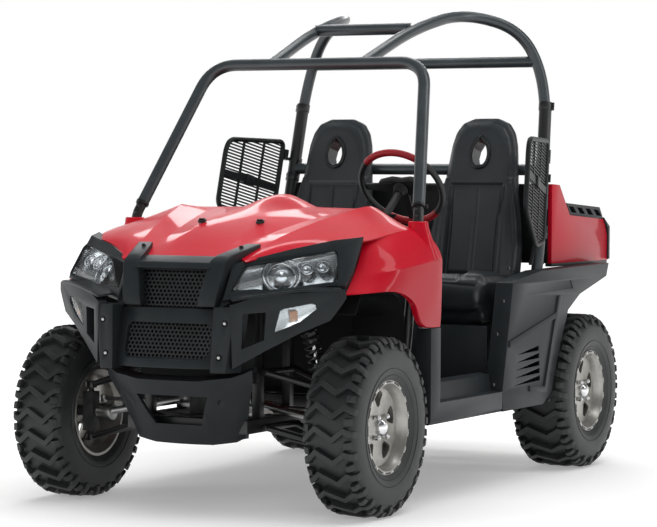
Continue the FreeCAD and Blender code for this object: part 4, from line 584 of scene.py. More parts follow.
# %% [markdown]
# ## The hood
#
# One big red moulding. Its middle panel rises from the grille to two quarter-turn fasteners,
# behind it a hump covers the dashboard's front, and on each side a sharp crest climbs from the
# grille's pillar to a peak in front of the windscreen's foot. The sheet is hung on rows that run
# across the hood, and the crest's column is creased so that it stays sharp when smoothed.

# %% Hood
HOOD_ROWS = [
    [(0, -1228, 936), (60, -1227, 936), (120, -1222, 937), (165, -1216, 938), (220, -1207, 940),
     (244, -1222, 934), (262, -1232, 929)],
    [(0, -1150, 968), (60, -1149, 968), (118, -1143, 969), (172, -1136, 969), (258, -1136, 974),
     (292, -1160, 962), (318, -1156, 951)],
    [(0, -1040, 1016), (60, -1038, 1016), (125, -1030, 1017), (198, -1006, 1013),
     (288, -1018, 1018), (350, -1050, 998), (425, -1038, 979)],
    [(0, -900, 1066), (60, -898, 1065), (130, -890, 1062), (225, -868, 1046), (325, -870, 1060),
     (430, -920, 1026), (545, -962, 996)],
    [(0, -760, 1102), (60, -757, 1101), (130, -750, 1094), (255, -735, 1074), (353, -762, 1086),
     (480, -810, 1050), (594, -880, 1007)],
    [(0, -640, 1134), (58, -640, 1126), (128, -628, 1108), (280, -615, 1094), (386, -640, 1111),
     (505, -680, 1072), (612, -745, 1030)],
    [(0, -540, 1176), (62, -540, 1157), (134, -535, 1122), (293, -530, 1106), (415, -550, 1133),
     (525, -575, 1084), (622, -655, 1042)],
    [(0, -450, 1178), (62, -450, 1154), (136, -452, 1120), (308, -470, 1117), (432, -512, 1118),
     (545, -540, 1062), (636, -600, 1040)],
]
MIDDLE_COLUMN = 6
HOOD_CREASES = {2: 0.7, 3: 0.75, 4: 1.0, 5: 0.4}


def make_hood():
    sharp = {MIDDLE_COLUMN + side * column: crease for column, crease in HOOD_CREASES.items()
             for side in SIDES.values()}
    hood = skin([both(row) for row in HOOD_ROWS], wall=5, creases=sharp, angle=11)
    hand_over(hood, "hood_moulding", red_paint, "hood")


make_hood()

# %% [markdown]
# ### Fasteners
#
# Two black quarter-turn knobs hold the hood down and two more hold each pillar's tip. Each is a
# flat button with a raised grip across it.

# %% Quarter-turn fasteners
KNOBS = [((126, -885, 1068), 17), ((208, -1172, 976), 9)]
HOOD_SLOPE = 20


def make_knob(spot, radius):
    grip = fresh(bpy.ops.mesh.primitive_cube_add, size=MM)
    moved(grip, shift(0, 0, 6) @ Matrix.Diagonal((radius * 1.4, 6, 8, 1)))
    knob = soften(joined(peg((0, 0, 0), radius, 7, 28, "Z"), grip), 1.2)
    return moved(knob, shift(*spot) @ turn("X", HOOD_SLOPE))


def make_fasteners():
    hand_over(twin(joined(*[make_knob(*knob) for knob in KNOBS])), "hood_fasteners", black_rubber,
              slot="fascia_plastic")


make_fasteners()

# %% [markdown]
# ## The fenders
#
# Each fender wraps over its wheel: a sloping top, a stepped character line that catches the
# light, an upright side and a wheel arch with a turned-in lip. Its tail runs down in front of
# the door. The rows run from the nose to the tail, and the two columns of the step are creased.

# %% Fenders
FENDER_ROWS = [
    [(553, -877, 996), (565, -925, 938), (573, -980, 888), (577, -1000, 874), (580, -1030, 848),
     (590, -1090, 810), (572, -1090, 812)],
    [(574, -865, 1002), (608, -910, 950), (632, -950, 902), (644, -961, 886), (650, -985, 852),
     (654, -1025, 816), (632, -1025, 819)],
    [(595, -817, 1015), (647, -852, 962), (673, -877, 914), (686, -882, 897), (688, -907, 858),
     (687, -950, 822), (663, -950, 825)],
    [(612, -750, 1028), (664, -800, 965), (688, -815, 922), (701, -818, 904), (704, -840, 858),
     (700, -860, 818), (676, -860, 821)],
    [(622, -670, 1038), (672, -700, 978), (694, -715, 932), (707, -715, 914), (708, -740, 850),
     (702, -775, 792), (678, -775, 796)],
    [(626, -630, 1042), (677, -640, 984), (698, -645, 942), (710, -645, 922), (709, -670, 820),
     (702, -722, 762), (678, -722, 764)],
    [(634, -590, 1042), (682, -590, 988), (701, -588, 948), (711, -588, 928), (709, -600, 790),
     (701, -692, 700), (678, -692, 700)],
    [(640, -545, 1038), (685, -545, 988), (702, -543, 950), (711, -543, 930), (709, -545, 770),
     (701, -640, 672), (678, -640, 672)],
    [(640, -512, 1030), (684, -512, 986), (700, -512, 950), (707, -512, 930), (704, -508, 770),
     (699, -508, 672), (676, -508, 672)],
]
BOSS = (627, -560, 1072)
BOSS_STEPS = [(24, 1.04, 2), (60, 1.3, 8), (60, 1.25, 10)]


def make_fenders():
    """The sheet, and the round boss that the cage's foot stands in, wider at each step down."""
    fender = skin(FENDER_ROWS, creases={2: 0.9, 3: 0.9, 5: 0.9}, angle=14)
    boss = fresh(bpy.ops.mesh.primitive_circle_add, vertices=40, radius=38 * MM,
                 fill_type="NGON")
    moved(boss, shift(*BOSS))
    for drop, grow, aside in BOSS_STEPS:
        foot = min(vertex.co.z for vertex in boss.data.vertices)
        choose(boss, "VERT", lambda vertex: vertex.co.z < foot + 0.001 * MM)
        extruded(boss, (aside, 0, -drop))
        middle = Vector((BOSS[0] + aside, BOSS[1], 0)) * MM
        act(boss, lambda: bpy.ops.transform.resize(value=(grow, grow, 1), center_override=middle))
    soften(outward(boss), 4, segments=3)
    hand_over(twin(joined(fender, boss)), "fender_mouldings", red_paint, "fenders")


make_fenders()

# %% [markdown]
# ## The nose
#
# The dark nose carries the lamps and the grille. A frame of two raked pillars with a lip across
# the top stands in the middle. The lamps look out of the surround on either side, which leans
# back and turns outward with them. Its outline is laid down in the lamp's own plane.

# %% The lamps' own frame
LAMP_FRAME = shift(238, -1290, 823) @ turn("Z", 30.6) @ turn("X", -30)
SWEPT_BACK = Vector((-0.46, 0.887, 0))
BEND_START, BEND_RUN, BEND_DEPTH = 150, 230, 30
TIP_START, TIP_RUN, TIP_DEPTH = 385, 90, 85
LENS_OUTLINE = [(-6, -4), (16, 44), (48, 101), (210, 130), (319, 146), (371, 153), (382, 140),
                (381, 34), (370, 25), (288, 22), (240, 17), (222, 0), (200, -13), (177, -17),
                (152, -14), (128, -5), (112, 4), (84, 8), (40, 4)]
SURROUND_OUTLINE = [(-34, -40), (72, -26), (244, -6), (353, 10), (407, 6), (435, 60), (478, 206),
                    (464, 204), (370, 195), (222, 172), (40, 121), (2, 108)]


def wrapped(thing):
    """Bends the lamp's outer end forward round the corner, and the plate's tip back beyond it."""
    back = LAMP_FRAME.to_3x3().inverted() @ SWEPT_BACK
    for vertex in thing.data.vertices:
        share = min(max(vertex.co.x / MM - BEND_START, 0) / BEND_RUN, 1)
        beyond = min(max(vertex.co.x / MM - TIP_START, 0) / TIP_RUN, 1)
        vertex.co.y -= BEND_DEPTH * MM * share ** 2
        vertex.co += back * TIP_DEPTH * MM * beyond
    return thing


# %% The surround and its pillars
def make_surround():
    """A thick plate in the lamp's plane, with its opening and a rolled lip round it."""
    body = board("Y", -6, 60, *SURROUND_OUTLINE)
    carve(body, board("Y", -30, 120, *LENS_OUTLINE))
    soften(body, 3, segments=3, angle=40)
    return moved(wrapped(body), LAMP_FRAME)


PILLAR_SIDE = [(-1340, 766), (-1338, 800), (-1312, 916), (-1296, 934), (-1256, 952), (-1120, 992),
               (-1120, 968), (-1215, 925), (-1262, 880), (-1284, 766)]
LIP_SIDE = [(-1322, 904), (-1306, 924), (-1240, 947), (-1222, 940), (-1250, 905), (-1290, 892)]


def make_pillar():
    """A raked post whose side view bends back onto the hood, wider apart as it rises."""
    post = board("X", 0, 1, *PILLAR_SIDE)
    for vertex in post.data.vertices:
        rise = min(max((vertex.co.z - 0.772) / 0.16, 0), 1)
        back = max(vertex.co.y + 1.262, 0) / 0.142
        if vertex.co.x > 0.5 * MM:
            vertex.co.x = (194 + 20 * rise + 48 * back) * MM
        else:
            vertex.co.x = (118 + 32 * rise + 50 * back) * MM
    return soften(post, 5, segments=3, angle=30)


def make_nose():
    lip = soften(board("X", -160, 320, *LIP_SIDE), 4, segments=3)
    cheek = plate([(204, -1330, 760), (232, -1322, 775), (238, -1268, 850), (262, -1200, 930),
                   (204, -1215, 925)], (0, 90, 10))
    nose = joined(twin(joined(make_surround(), make_pillar(), soften(cheek, 3))), lip)
    hand_over(nose, "nose_moulding", fascia_plastic, "front_surround")


make_nose()

# %% [markdown]
# ### Perforated grilles
#
# Both grilles are black sheet punched with rows of round holes, each row half a hole off the
# last. One hole is a ring of twelve faces with a six-sided outside, so that copies of it fill
# the sheet like a honeycomb. The sheet is then trimmed to its opening.

# %% Perforated sheet
HOLE_PITCH, HOLE_RADIUS = 17.0, 6.0
CELL_RADIUS = HOLE_PITCH / 2 / math.cos(math.radians(30))


def repeated(thing, count, x, y):
    return apply_modifier(thing, "ARRAY", count=count, use_relative_offset=False,
                          use_constant_offset=True, constant_offset_displace=(x * MM, y * MM, 0))


def make_honeycomb(columns, rows):
    """A sheet in the XZ plane about the origin, from one hole repeated."""
    cell = fresh(bpy.ops.mesh.primitive_circle_add, vertices=12, radius=HOLE_RADIUS * MM,
                 fill_type="NOTHING")
    edit(cell, lambda: bpy.ops.mesh.extrude_edges_move())
    for vertex in list(cell.data.vertices)[12:]:
        angle = math.atan2(vertex.co.y, vertex.co.x)
        corner = math.radians(30 + 60 * round((math.degrees(angle) - 30) / 60))
        reach = HOLE_PITCH / 2 / math.cos(abs(angle - corner) - math.radians(30))
        vertex.co = Vector((math.cos(angle), math.sin(angle), 0)) * reach * MM
    repeated(cell, columns, HOLE_PITCH, 0)
    shifted = moved(copied(cell), shift(HOLE_PITCH / 2, CELL_RADIUS * 1.5, 0))
    sheet = repeated(joined(cell, shifted), rows, 0, CELL_RADIUS * 3)
    edit(sheet, lambda: bpy.ops.mesh.remove_doubles(threshold=0.05 * MM))
    return moved(sheet, turn("X", 90)
                 @ shift(-columns * HOLE_PITCH / 2, -rows * CELL_RADIUS * 1.5, 0))


def make_grille(columns, rows, half_width, half_height, lean, spot):
    """A punched sheet, trimmed to size and leant into its opening."""
    sheet = make_honeycomb(columns, rows)
    for side in (1, -1):
        for edge, away in (((half_width, 0, 0), (1, 0, 0)), ((0, 0, half_height), (0, 0, 1))):
            edit(sheet, lambda: bpy.ops.mesh.bisect(
                plane_co=Vector(edge) * side * MM, plane_no=Vector(away) * side,
                clear_outer=True))
    apply_modifier(sheet, "SOLIDIFY", thickness=2.5 * MM, offset=0)
    return moved(sheet, shift(*spot) @ turn("X", lean))


def make_grilles():
    upper = make_grille(20, 8, 146, 72, -15, (0, -1288, 832))
    lower = make_grille(24, 7, 172, 66, -14.4, (0, -1330, 642))
    hand_over(joined(upper, lower), "perforated_grilles", black_sheet, "grilles")
    # Dark plates behind both grilles are painted shade: they stand in for the shaded space behind
    # the holes, so that no bright backdrop shows through.
    backs = [plate([(-wide, y, z) for y, z in ends] + [(wide, y, z) for y, z in ends[::-1]],
                   (0, 4, 0)) for wide, ends in ((166, [(-1262, 750), (-1218, 932)]),
                                                 (180, [(-1312, 570), (-1280, 716)]))]
    hand_over(joined(*backs), "grille_painted_shade_plates", floor_plastic)


make_grilles()

# %% [markdown]
# ### Bumper
#
# The bumper's middle is pointed in plan and leans forward at its foot, so its plan outline is
# pushed up and back at once. A raised block closes it on each side, with two recessed bolts, and
# the wing sweeps back from the block to the wheel.

# %% Bumper
BUMPER_PLAN = [(-226, -1352), (-100, -1398), (100, -1398), (226, -1352), (226, -1290),
               (100, -1330), (-100, -1330), (-226, -1290)]
WINDOW_OUTLINE = [(-168, 576), (-182, 600), (-182, 688), (-166, 708), (166, 708), (182, 688),
                  (182, 600), (168, 576)]
BLOCK_FOOT = [(205, -1392), (262, -1384), (288, -1310), (212, -1310)]
BLOCK_HEAD = [(212, -1380), (290, -1366), (306, -1284), (212, -1284)]
BLOCK_BOLTS = [(238, -1392, 590), (256, -1384, 712)]


def recess(spot):
    """A short peg lying along the vehicle, to sink a bolt's recess."""
    return peg(spot, 11, 30)


def make_bumper():
    centre = plate(across("Z", 545, BUMPER_PLAN), (0, 56, 214))
    window = loft(across("Y", -1460, WINDOW_OUTLINE),
                  across("Y", -1250, scaled(WINDOW_OUTLINE, (0, 642), 0.96, 0.92)))
    soften(carve(centre, window), 4, segments=3, angle=30)
    block = loft(across("Z", 534, BLOCK_FOOT), across("Z", 768, BLOCK_HEAD))
    soften(carve(block, *map(recess, BLOCK_BOLTS)), 5, segments=3, angle=30)
    hand_over(joined(centre, twin(block)), "bumper_moulding", fascia_plastic, "front_bumper")
    bolts = [soften(peg(spot, 7, 8, 6)) for spot in ((238, -1384, 590), (256, -1374, 712))]
    hand_over(twin(joined(*bolts)), "bumper_bolts", bright_steel)


make_bumper()

# %% Bumper wings
WING_OUTLINE = [(-20, 10), (102, 76), (221, 136), (333, 182), (374, 236), (391, 262), (389, 292),
                (332, 300), (223, 287), (51, 264), (-30, 236)]
SIGNAL_OUTLINE = [(130, 139), (150, 216), (162, 224), (262, 243), (280, 240), (284, 224),
                  (224, 178), (181, 159)]
SIDE_WINDOW_OUTLINE = [(12, 80), (16, 206), (100, 212), (93, 112), (52, 96)]
WING_FRAME = shift(298.3, -1353, 540) @ turn("Z", 37.3)


def make_wings():
    wing = board("Y", -4, 34, *WING_OUTLINE)
    carve(wing, board("Y", -60, 160, *SIGNAL_OUTLINE), board("Y", -60, 160, *SIDE_WINDOW_OUTLINE))
    shelf = plate([(-24, -6, 250), (51, -6, 262), (223, -8, 284), (372, -6, 288),
                   (372, 40, 292), (223, 56, 292), (40, 60, 272), (-24, 50, 258)], (0, 0, 10))
    pair = joined(soften(wing, 3, segments=3, angle=30), soften(shelf, 3))
    hand_over(twin(moved(pair, WING_FRAME)), "bumper_wing_mouldings", fascia_plastic,
              "bumper_wings")


make_wings()

# %% Lower bumper
LOWER_TOP = [(0, -1338, 490), (124, -1334, 492), (238, -1292, 506), (306, -1255, 529)]
LOWER_FOOT = [(0, -1210, 262), (120, -1206, 264), (200, -1186, 276), (214, -1160, 292)]
SHIELD_BOLTS = [(95, -1296, 468), (190, -1296, 418)]
SHIELD_CREASE = 0.85


def make_lower_bumper():
    """A skid shield: its rows run from the turned-back top edge down to the foot."""
    rows = [[(x, y + 34, z + 6) for x, y, z in LOWER_TOP]]
    for share in (0, 0.18, 0.82, 1):
        rows.append([tuple(a + (b - a) * share for a, b in zip(*ends))
                     for ends in zip(LOWER_TOP, LOWER_FOOT)])
    shield = skin([both(row) for row in rows], wall=16, levels=1,
                  creases=dict.fromkeys((1, 2, 4, 5), SHIELD_CREASE),
                  row_creases=dict.fromkeys((1, 2, 3), SHIELD_CREASE))
    window = board("Y", -1400, 300, *tapered(-98, 98, 330, 440, -52))
    carve(shield, window, *[recess((side * x, y, z)) for side in SIDES.values()
                            for x, y, z in SHIELD_BOLTS])
    soften(shield, 2.5, angle=35)
    hand_over(shield, "lower_bumper_moulding", fascia_plastic, "lower_bumper")


make_lower_bumper()

# %% [markdown]
# ### Headlights and turn signals
#
# A lamp is a bright bowl behind a clear cover. The bowl is a vacuum-metallised moulding with a
# big round projector and two small rings, and the cover is a few millimetres of acrylic. A
# ribbed strip closes its outer end.

# %% Headlights
PROJECTOR, SMALL_LAMPS = (178, 69), [(269, 93), (326, 97)]


def ring(x, z, radius, depth, thickness):
    thing = fresh(bpy.ops.mesh.primitive_torus_add, major_radius=radius * MM,
                  minor_radius=thickness * MM, major_segments=40, minor_segments=10)
    return moved(thing, shift(x, depth, z) @ turn("X", 90))


def bowl(x, z, radius, depth):
    """A shallow dish that looks out along the lamp's axis."""
    dish = fresh(bpy.ops.mesh.primitive_uv_sphere_add, segments=32, ring_count=16,
                 radius=radius * MM)
    edit(dish, lambda: bpy.ops.mesh.bisect(plane_co=(0, 0, 0), plane_no=(0, 0, 1),
                                           clear_outer=True),
         lambda: bpy.ops.mesh.flip_normals())
    return moved(dish, shift(x, depth, z) @ turn("X", 90) @ Matrix.Diagonal((1, 1, 0.5, 1)))


def make_headlights():
    inside = scaled(LENS_OUTLINE, (178, 70), 0.99, 0.985)
    optics = [ring(*PROJECTOR, 66, 10, 6), ring(*PROJECTOR, 50, 20, 5), bowl(*PROJECTOR, 62, 16),
              bowl(*PROJECTOR, 30, 4)]
    for spot in SMALL_LAMPS:
        optics += [ring(*spot, 21, 12, 3), bowl(*spot, 18, 14)]
    optics += [slab(362, 6, z, 16, 28, 4) for z in range(34, 136, 8)]
    for piece in optics:
        smoothed(piece)
    inner = joined(board("Y", 34, 6, *inside), *optics)
    cover = soften(board("Y", 0, 4, *inside))
    hand_over(twin(moved(wrapped(inner), LAMP_FRAME)), "headlight_reflectors", bright_reflector)
    hand_over(twin(moved(wrapped(cover), LAMP_FRAME)), "headlight_covers", clear_acrylic,
              "headlights")


def make_signals():
    cover = soften(board("Y", -2, 4, *scaled(SIGNAL_OUTLINE, (205, 190), 0.985, 0.985)))
    back = board("Y", 20, 4, *SIGNAL_OUTLINE)
    bulb = soften(board("Y", 6, 14, (188, 176), (188, 214), (216, 218), (216, 184)), 3)
    for name, piece, material, nodes in (("covers", cover, clear_acrylic, ["turn_signals"]),
                                         ("reflectors", back, bright_reflector, []),
                                         ("bulbs", bulb, amber_acrylic, [])):
        hand_over(twin(moved(piece, WING_FRAME)), "turn_signal_" + name, material, *nodes)


make_headlights()
make_signals()

# %% [markdown]
# ## The wheels
#
# Four soft mud tyres on cast alloy rims. A tyre is a ring with one section all round, so it is
# spun from that section about the axle. Its tread is 24 equal pitches: a bar that zigzags across
# the tread and bends down over both shoulders, and a short block beside it. One pitch is modelled
# and then copied round the ring. Everything is drawn at the origin, with the axle along X and
# the street side at +X, and then carried to its hub.

# %% Turning and pitching round the axle
def turned(section, steps=72):
    """A closed section of (along the axle, out from it) spun into a ring."""
    thing = fresh(bpy.ops.mesh.primitive_circle_add, vertices=len(section),
                  fill_type="NOTHING")
    lay(thing.data.vertices, across("Y", 0, section))
    return edit(thing, lambda: bpy.ops.mesh.spin(steps=steps, angle=2 * math.pi,
                                                 center=(0, 0, 0), axis=(1, 0, 0)),
                lambda: bpy.ops.mesh.remove_doubles(threshold=0.01 * MM),
                lambda: bpy.ops.mesh.normals_make_consistent(inside=False))


def round_axle(thing, count, start=0.0):
    """Copies one piece evenly round the axle and joins the copies."""
    copies = [moved(copied(thing), turn("X", start + 360 / count * index))
              for index in range(count)]
    bpy.data.objects.remove(thing)
    return joined(*copies)


# %% Tyres
PITCHES, TYRE_RADIUS, LUG_WIDTH = 24, 330, 25
CASING = [(0.76, 160), (0.8, 172), (0.9, 186), (0.96, 208), (0.985, 240), (0.965, 270), (0.92, 288),
          (0.84, 299), (0.7, 304), (0.4, 307)]
ZIGZAG = [(-0.98, -0.3, 286), (-0.93, -0.28, 308), (-0.8, -0.22, 324), (-0.6, -0.02, 328),
          (-0.42, 0.2, 329), (-0.2, 0.04, 330), (0.22, -0.26, 330), (0.42, -0.06, 329),
          (0.62, 0.14, 328), (0.8, 0.04, 324), (0.93, -0.02, 308), (0.98, -0.02, 286)]
SHOULDER_BLOCK = [(0.66, 326), (0.8, 322), (0.92, 306)]
PITCH = 2 * math.pi * TYRE_RADIUS / PITCHES


def lug(rows, wall):
    return soften(skin(rows, wall=wall, levels=0), 2.4, angle=25)


def make_tread_bar(half):
    """One zigzag bar: two rows of points, one along each edge, hung on the tread's crown."""
    return lug([[(half * x, PITCH * y + way * LUG_WIDTH / 2, r) for x, y, r in ZIGZAG]
                for way in (-1, 1)], 26)


def make_shoulder_block(half, side):
    place = PITCH * (0.5 if side > 0 else 0.22)
    return lug([[(side * half * x, place + way * 13, r) for x, r in SHOULDER_BLOCK]
                for way in (-side, side)], 20)


def make_tyre(half):
    outside = [(half * x, r) for x, r in CASING]
    inside = [(half * x - (8 if r < 300 else 0), r - (8 if r > 290 else 0)) for x, r in CASING]
    section = (outside + [(-x, r) for x, r in outside[::-1]]
               + [(-x, r) for x, r in inside] + inside[::-1])
    casing = smoothed(turned(section, steps=96), 50)
    bars = round_axle(joined(make_tread_bar(half), make_shoulder_block(half, 1),
                             make_shoulder_block(half, -1)), PITCHES)
    beads = []
    for side in SIDES.values():
        for x, r in ((0.905, 190), (0.965, 214)):
            foot = half * x
            beads.append(turned([(side * foot, r), (side * (foot + 2.5), r + 1.5),
                                 (side * foot, r + 3)]))
    return joined(casing, bars, *beads)


# %% [markdown]
# ### Rims
#
# The rim is cast in one piece with five broad spokes. Its outer lip is turned bright and carries
# a ring of short dark slots, with a small bolt between each two. The wheel's face is spun from
# its section, the five windows are cut through it, and their edges are rounded as a mould does.

# %% Rims
SPOKES, LIP_SLOTS = 5, 16
WINDOW_SHAPE = [(-13, 80), (-6, 74), (6, 74), (13, 80), (34, 114), (34, 123), (18, 130), (0, 132),
                (-18, 130), (-34, 123), (-34, 114)]
SLOT_SHAPE = [(-19, 163), (-9, 163.8), (9, 163.8), (19, 163), (19.8, 168.6), (9, 170), (-9, 170),
              (-19.8, 168.6)]


def make_rim(half):
    barrel = [(half, 160), (half, 172), (half - 5, 174), (half - 8, 171), (half - 9, 162),
              (half - 34, 160), (half - 46, 150), (46 - half, 150), (34 - half, 160),
              (9 - half, 162), (8 - half, 171), (-half, 172), (-half, 162), (20 - half, 141),
              (half - 44, 141), (half - 40, 143), (half - 22, 146), (half - 14, 152),
              (half - 4, 158)]
    disc = [(6, 0.5), (6, 44), (2, 60), (-2, 100), (0, 136), (4, 146), (-12, 146), (-16, 100),
            (-14, 60), (-40, 44), (-40, 0.5)]
    ring_part = smoothed(turned(barrel), 38)
    spokes = turned([(half - 42 + x, r) for x, r in disc])
    carve(spokes, round_axle(board("X", half - 100, 120, *WINDOW_SHAPE), SPOKES))
    return joined(ring_part, soften(spokes, 3, segments=3, angle=35))


def make_lip_slots(half):
    """Short dark slots let into the lip."""
    return round_axle(board("X", half - 0.5, 1.6, *SLOT_SHAPE), LIP_SLOTS)


def make_hub_trim(half):
    """Bright nuts, the axle's cap and the small bolts of the lip."""
    face = half - 36
    nut = joined(peg((face + 8, 0, 52), 10, 18, 6, "X"), peg((face + 17, 0, 52), 6, 8, 16, "X"))
    cap = turned([(face - 4, 0.5), (face - 4, 33), (face + 14, 31), (face + 22, 25),
                  (face + 28, 14), (face + 30, 0.5)], steps=40)
    bolts = round_axle(soften(peg((half + 0.5, 0, 166.5), 3.2, 4, 10, "X"), 0.6), LIP_SLOTS,
                       180 / LIP_SLOTS)
    return joined(soften(cap), bolts, round_axle(soften(nut), 4, 45))


# %% Carry the wheels to their hubs
HUBS = {"front": (-965, 620, 107.5, 88), "rear": (965, 612.5, 131, 111)}


def fit_wheels():
    for end, (along, out, half, rim_half) in HUBS.items():
        pieces = {"tyre": (make_tyre(half), tyre_rubber),
                  "rim": (make_rim(rim_half), cast_alloy),
                  "lip_slots": (make_lip_slots(rim_half), black_rubber),
                  "hub_trim": (make_hub_trim(rim_half), chrome)}
        for kind, (piece, material) in pieces.items():
            for word, side in SIDES.items():
                wheel = f"{end}_{word}"
                place = shift(side * out, along, TYRE_RADIUS) @ turn("Z", 90 - 90 * side)
                nodes = [f"{wheel}_{kind}"] if kind in ("tyre", "rim") else []
                hand_over(moved(copied(piece), place), f"{wheel}_{kind}_piece", material, *nodes,
                          body=wheel + "_wheel")
            bpy.data.objects.remove(piece)


fit_wheels()

# %% [markdown]
# ## The seats
#
# Two deep bucket seats in black vinyl. A seat is foam under a sewn cover, and foam pushes its
# cover out until the seams hold it. So each pad starts as a plain form, is filled with a soft
# pressure in the cloth simulation, and is then drawn in again along its seams. The back has two
# side bolsters, a quilted middle, and a drop-shaped hole with a rolled rim for the belt.

# %% Padding and seams
PAD_VOXEL, CLOTH_FRAMES = 7, 20


def padded_form(thing, pressure, reach):
    """Fills a plain form under its cover, as foam does, and keeps the swelling in bounds."""
    apply_modifier(thing, "REMESH", mode="VOXEL", voxel_size=PAD_VOXEL * MM)
    rest = [(vertex.co.copy(), vertex.normal.copy()) for vertex in thing.data.vertices]
    pick(thing)
    cover = thing.modifiers.new("Cover", "CLOTH")
    cover.settings.use_pressure = True
    cover.settings.uniform_pressure_force = pressure
    cover.settings.effector_weights.gravity = 0
    cover.point_cache.frame_start = 1
    cover.point_cache.frame_end = CLOTH_FRAMES
    for moment in range(1, CLOTH_FRAMES + 1):
        bpy.context.scene.frame_set(moment)
    bpy.ops.object.modifier_apply(modifier="Cover")
    bpy.context.scene.frame_set(1)
    for vertex, (before, normal) in zip(thing.data.vertices, rest):
        swell = (vertex.co - before).dot(normal)
        vertex.co = before + normal * min(max(swell, 0), reach * MM)
    edit(thing, lambda: bpy.ops.mesh.vertices_smooth(factor=0.5, repeat=6))
    apply_modifier(thing, "SUBSURF", levels=1, render_levels=1)
    return smoothed(thing, 70)


def stitched(thing, lines, look, flat, depth=6, width=12):
    """Draws the cover in along sewn lines, seen along one direction in two coordinates."""
    look = np.array(look)
    spots = np.array([vertex.co for vertex in thing.data.vertices])
    facing = np.array([vertex.normal for vertex in thing.data.vertices]) @ look < -0.25
    seen = spots[:, flat] / MM
    gaps = np.full(len(spots), float(width))
    for line in lines:
        for first, last in zip(np.array(line, float), np.array(line[1:], float)):
            run = last - first
            share = np.clip((seen - first) @ run / (run @ run), 0, 1)
            gaps = np.minimum(gaps, np.linalg.norm(seen - first - share[:, None] * run, axis=1))
    sink = depth * MM * (1 - gaps / width) ** 1.5 * facing
    thing.data.vertices.foreach_set("co", (spots + sink[:, None] * look).ravel())
    thing.data.update()
    return thing


def front_of(thing, x, z):
    """Where a line that runs back from the front meets the pad, in millimetres."""
    bpy.context.view_layer.update()
    hit, spot, _, _ = thing.ray_cast(Vector((x, -200, z)) * MM, Vector((0, 1, 0)))
    return spot.y / MM if hit else 0


# %% Seat backs
BACK_HALF = [(168, 0), (204, 34), (211, 110), (211, 240), (196, 350), (174, 470), (162, 580),
             (151, 680), (136, 736), (108, 778), (56, 800)]
BOLSTER = [(122, 20), (196, 30), (206, 110), (206, 250), (190, 360), (166, 470), (150, 560),
           (140, 470), (120, 360)]
DROP_HALF = [(0, 576), (20, 581), (36, 600), (43, 632), (37, 664), (20, 694), (0, 712)]
BACK_SEAMS = [[(-112, 30), (-114, 500), (114, 500), (112, 30)], [(0, 500), (0, 30)],
              [(-112, 120), (112, 120)]]
SEAT_SPOT, SEAT_LEAN = (345, 530, 715), -11.3
FROM_FRONT, FROM_ABOVE = ((0, 1, 0), [0, 2]), ((0, 0, -1), [0, 1])


def make_seat_back():
    pad = soften(board("Y", 4, 50, *mirrored(BACK_HALF)), 20, segments=4, angle=40)
    for side in SIDES.values():
        bolster = board("Y", -26, 50, *[(side * x, z) for x, z in BOLSTER])
        pad = joined(pad, soften(bolster, 16, segments=3, angle=20))
    pad = padded_form(pad, pressure=4.0, reach=22)
    stitched(pad, BACK_SEAMS, *FROM_FRONT, depth=9, width=16)
    stitched(pad, [scaled(BACK_HALF, (0, 30), 0.9, 0.965)], *FROM_FRONT, depth=3, width=8)
    drop = mirrored(DROP_HALF)
    rim = [(x, front_of(pad, x * 1.25, z) - 3, z)
           for x, _, z in rounded(across("Y", 0, drop), 20, closed=True, steps=3)]
    carve(pad, board("Y", -200, 400, *drop))
    return pad, tube(rim, 8, closed=True)


# %% Seat cushions
CUSHION_SIDE = [(150, 776), (158, 724), (228, 700), (228, 646), (525, 646), (525, 716), (545, 806),
                (330, 824), (205, 836), (166, 828)]
CUSHION_SEAMS = [[(240, 176), (240, 520), (450, 520), (450, 176), (240, 176)],
                 [(345, 176), (345, 520)]]


def make_cushion():
    pad = soften(board("X", 130, 430, *CUSHION_SIDE), 24, segments=4, angle=30)
    for x in (128, 472):
        roll = board("X", x, 90, (175, 810), (520, 800), (520, 836), (200, 852))
        pad = joined(pad, soften(roll, 14, segments=3))
    pad = padded_form(pad, pressure=3.0, reach=14)
    stitched(pad, CUSHION_SEAMS, *FROM_ABOVE, depth=8, width=15)
    return stitched(pad, [[(140, 800), (240, 806), (345, 812), (450, 806), (550, 800)]],
                    *FROM_FRONT, depth=6, width=12)


# %% Fit the seats
def fit_seats():
    back, rim = make_seat_back()
    cushion = make_cushion()
    for word, side in SIDES.items():
        out, along, up = SEAT_SPOT
        seat = shift(side * out, along, up) @ turn("X", SEAT_LEAN)
        aside = shift((side - 1) * out, 0, 0)
        for kind, piece, place in (("seat_back", back, seat), ("seat_cushion", cushion, aside)):
            nodes = [kind + "s"] if side > 0 else []
            hand_over(moved(copied(piece), place), f"{word}_{kind}", seat_vinyl,
                                *nodes)
        hand_over(moved(copied(rim), seat), f"{word}_belt_rim", seat_piping)
    for piece in (back, rim, cushion):
        bpy.data.objects.remove(piece)


fit_seats()

# %% [markdown]
# ## The steering wheel
#
# A thick grip on three flat spokes, with two red leather sleeves sewn on at the top and the
# bottom. The pad in the middle covers the hub, and a ribbed rubber boot closes the column's top.
# The wheel is drawn flat at the origin and then laid onto the column.

# %% Steering wheel
def arc(radius, start, end, steps=24):
    return [(radius * math.cos(math.radians(start + (end - start) * step / steps)),
             radius * math.sin(math.radians(start + (end - start) * step / steps)), 0)
            for step in range(steps + 1)]


GRIP_RADIUS, COLUMN_LEAN = 172, 52
PAD_HALF = [(0, -34), (40, -40), (96, -26), (104, -6), (84, 18), (40, 34), (0, 60)]
ONTO_COLUMN = shift(340, -110, 1200) @ turn("X", -COLUMN_LEAN)
SPOKE_FOOT = [(30, -26, -10), (160, -13, -3), (160, 13, -3), (30, 26, -10)]
SPOKE_HEAD = [(30, -24, 4), (160, -12, 7), (160, 12, 7), (30, 24, 4)]


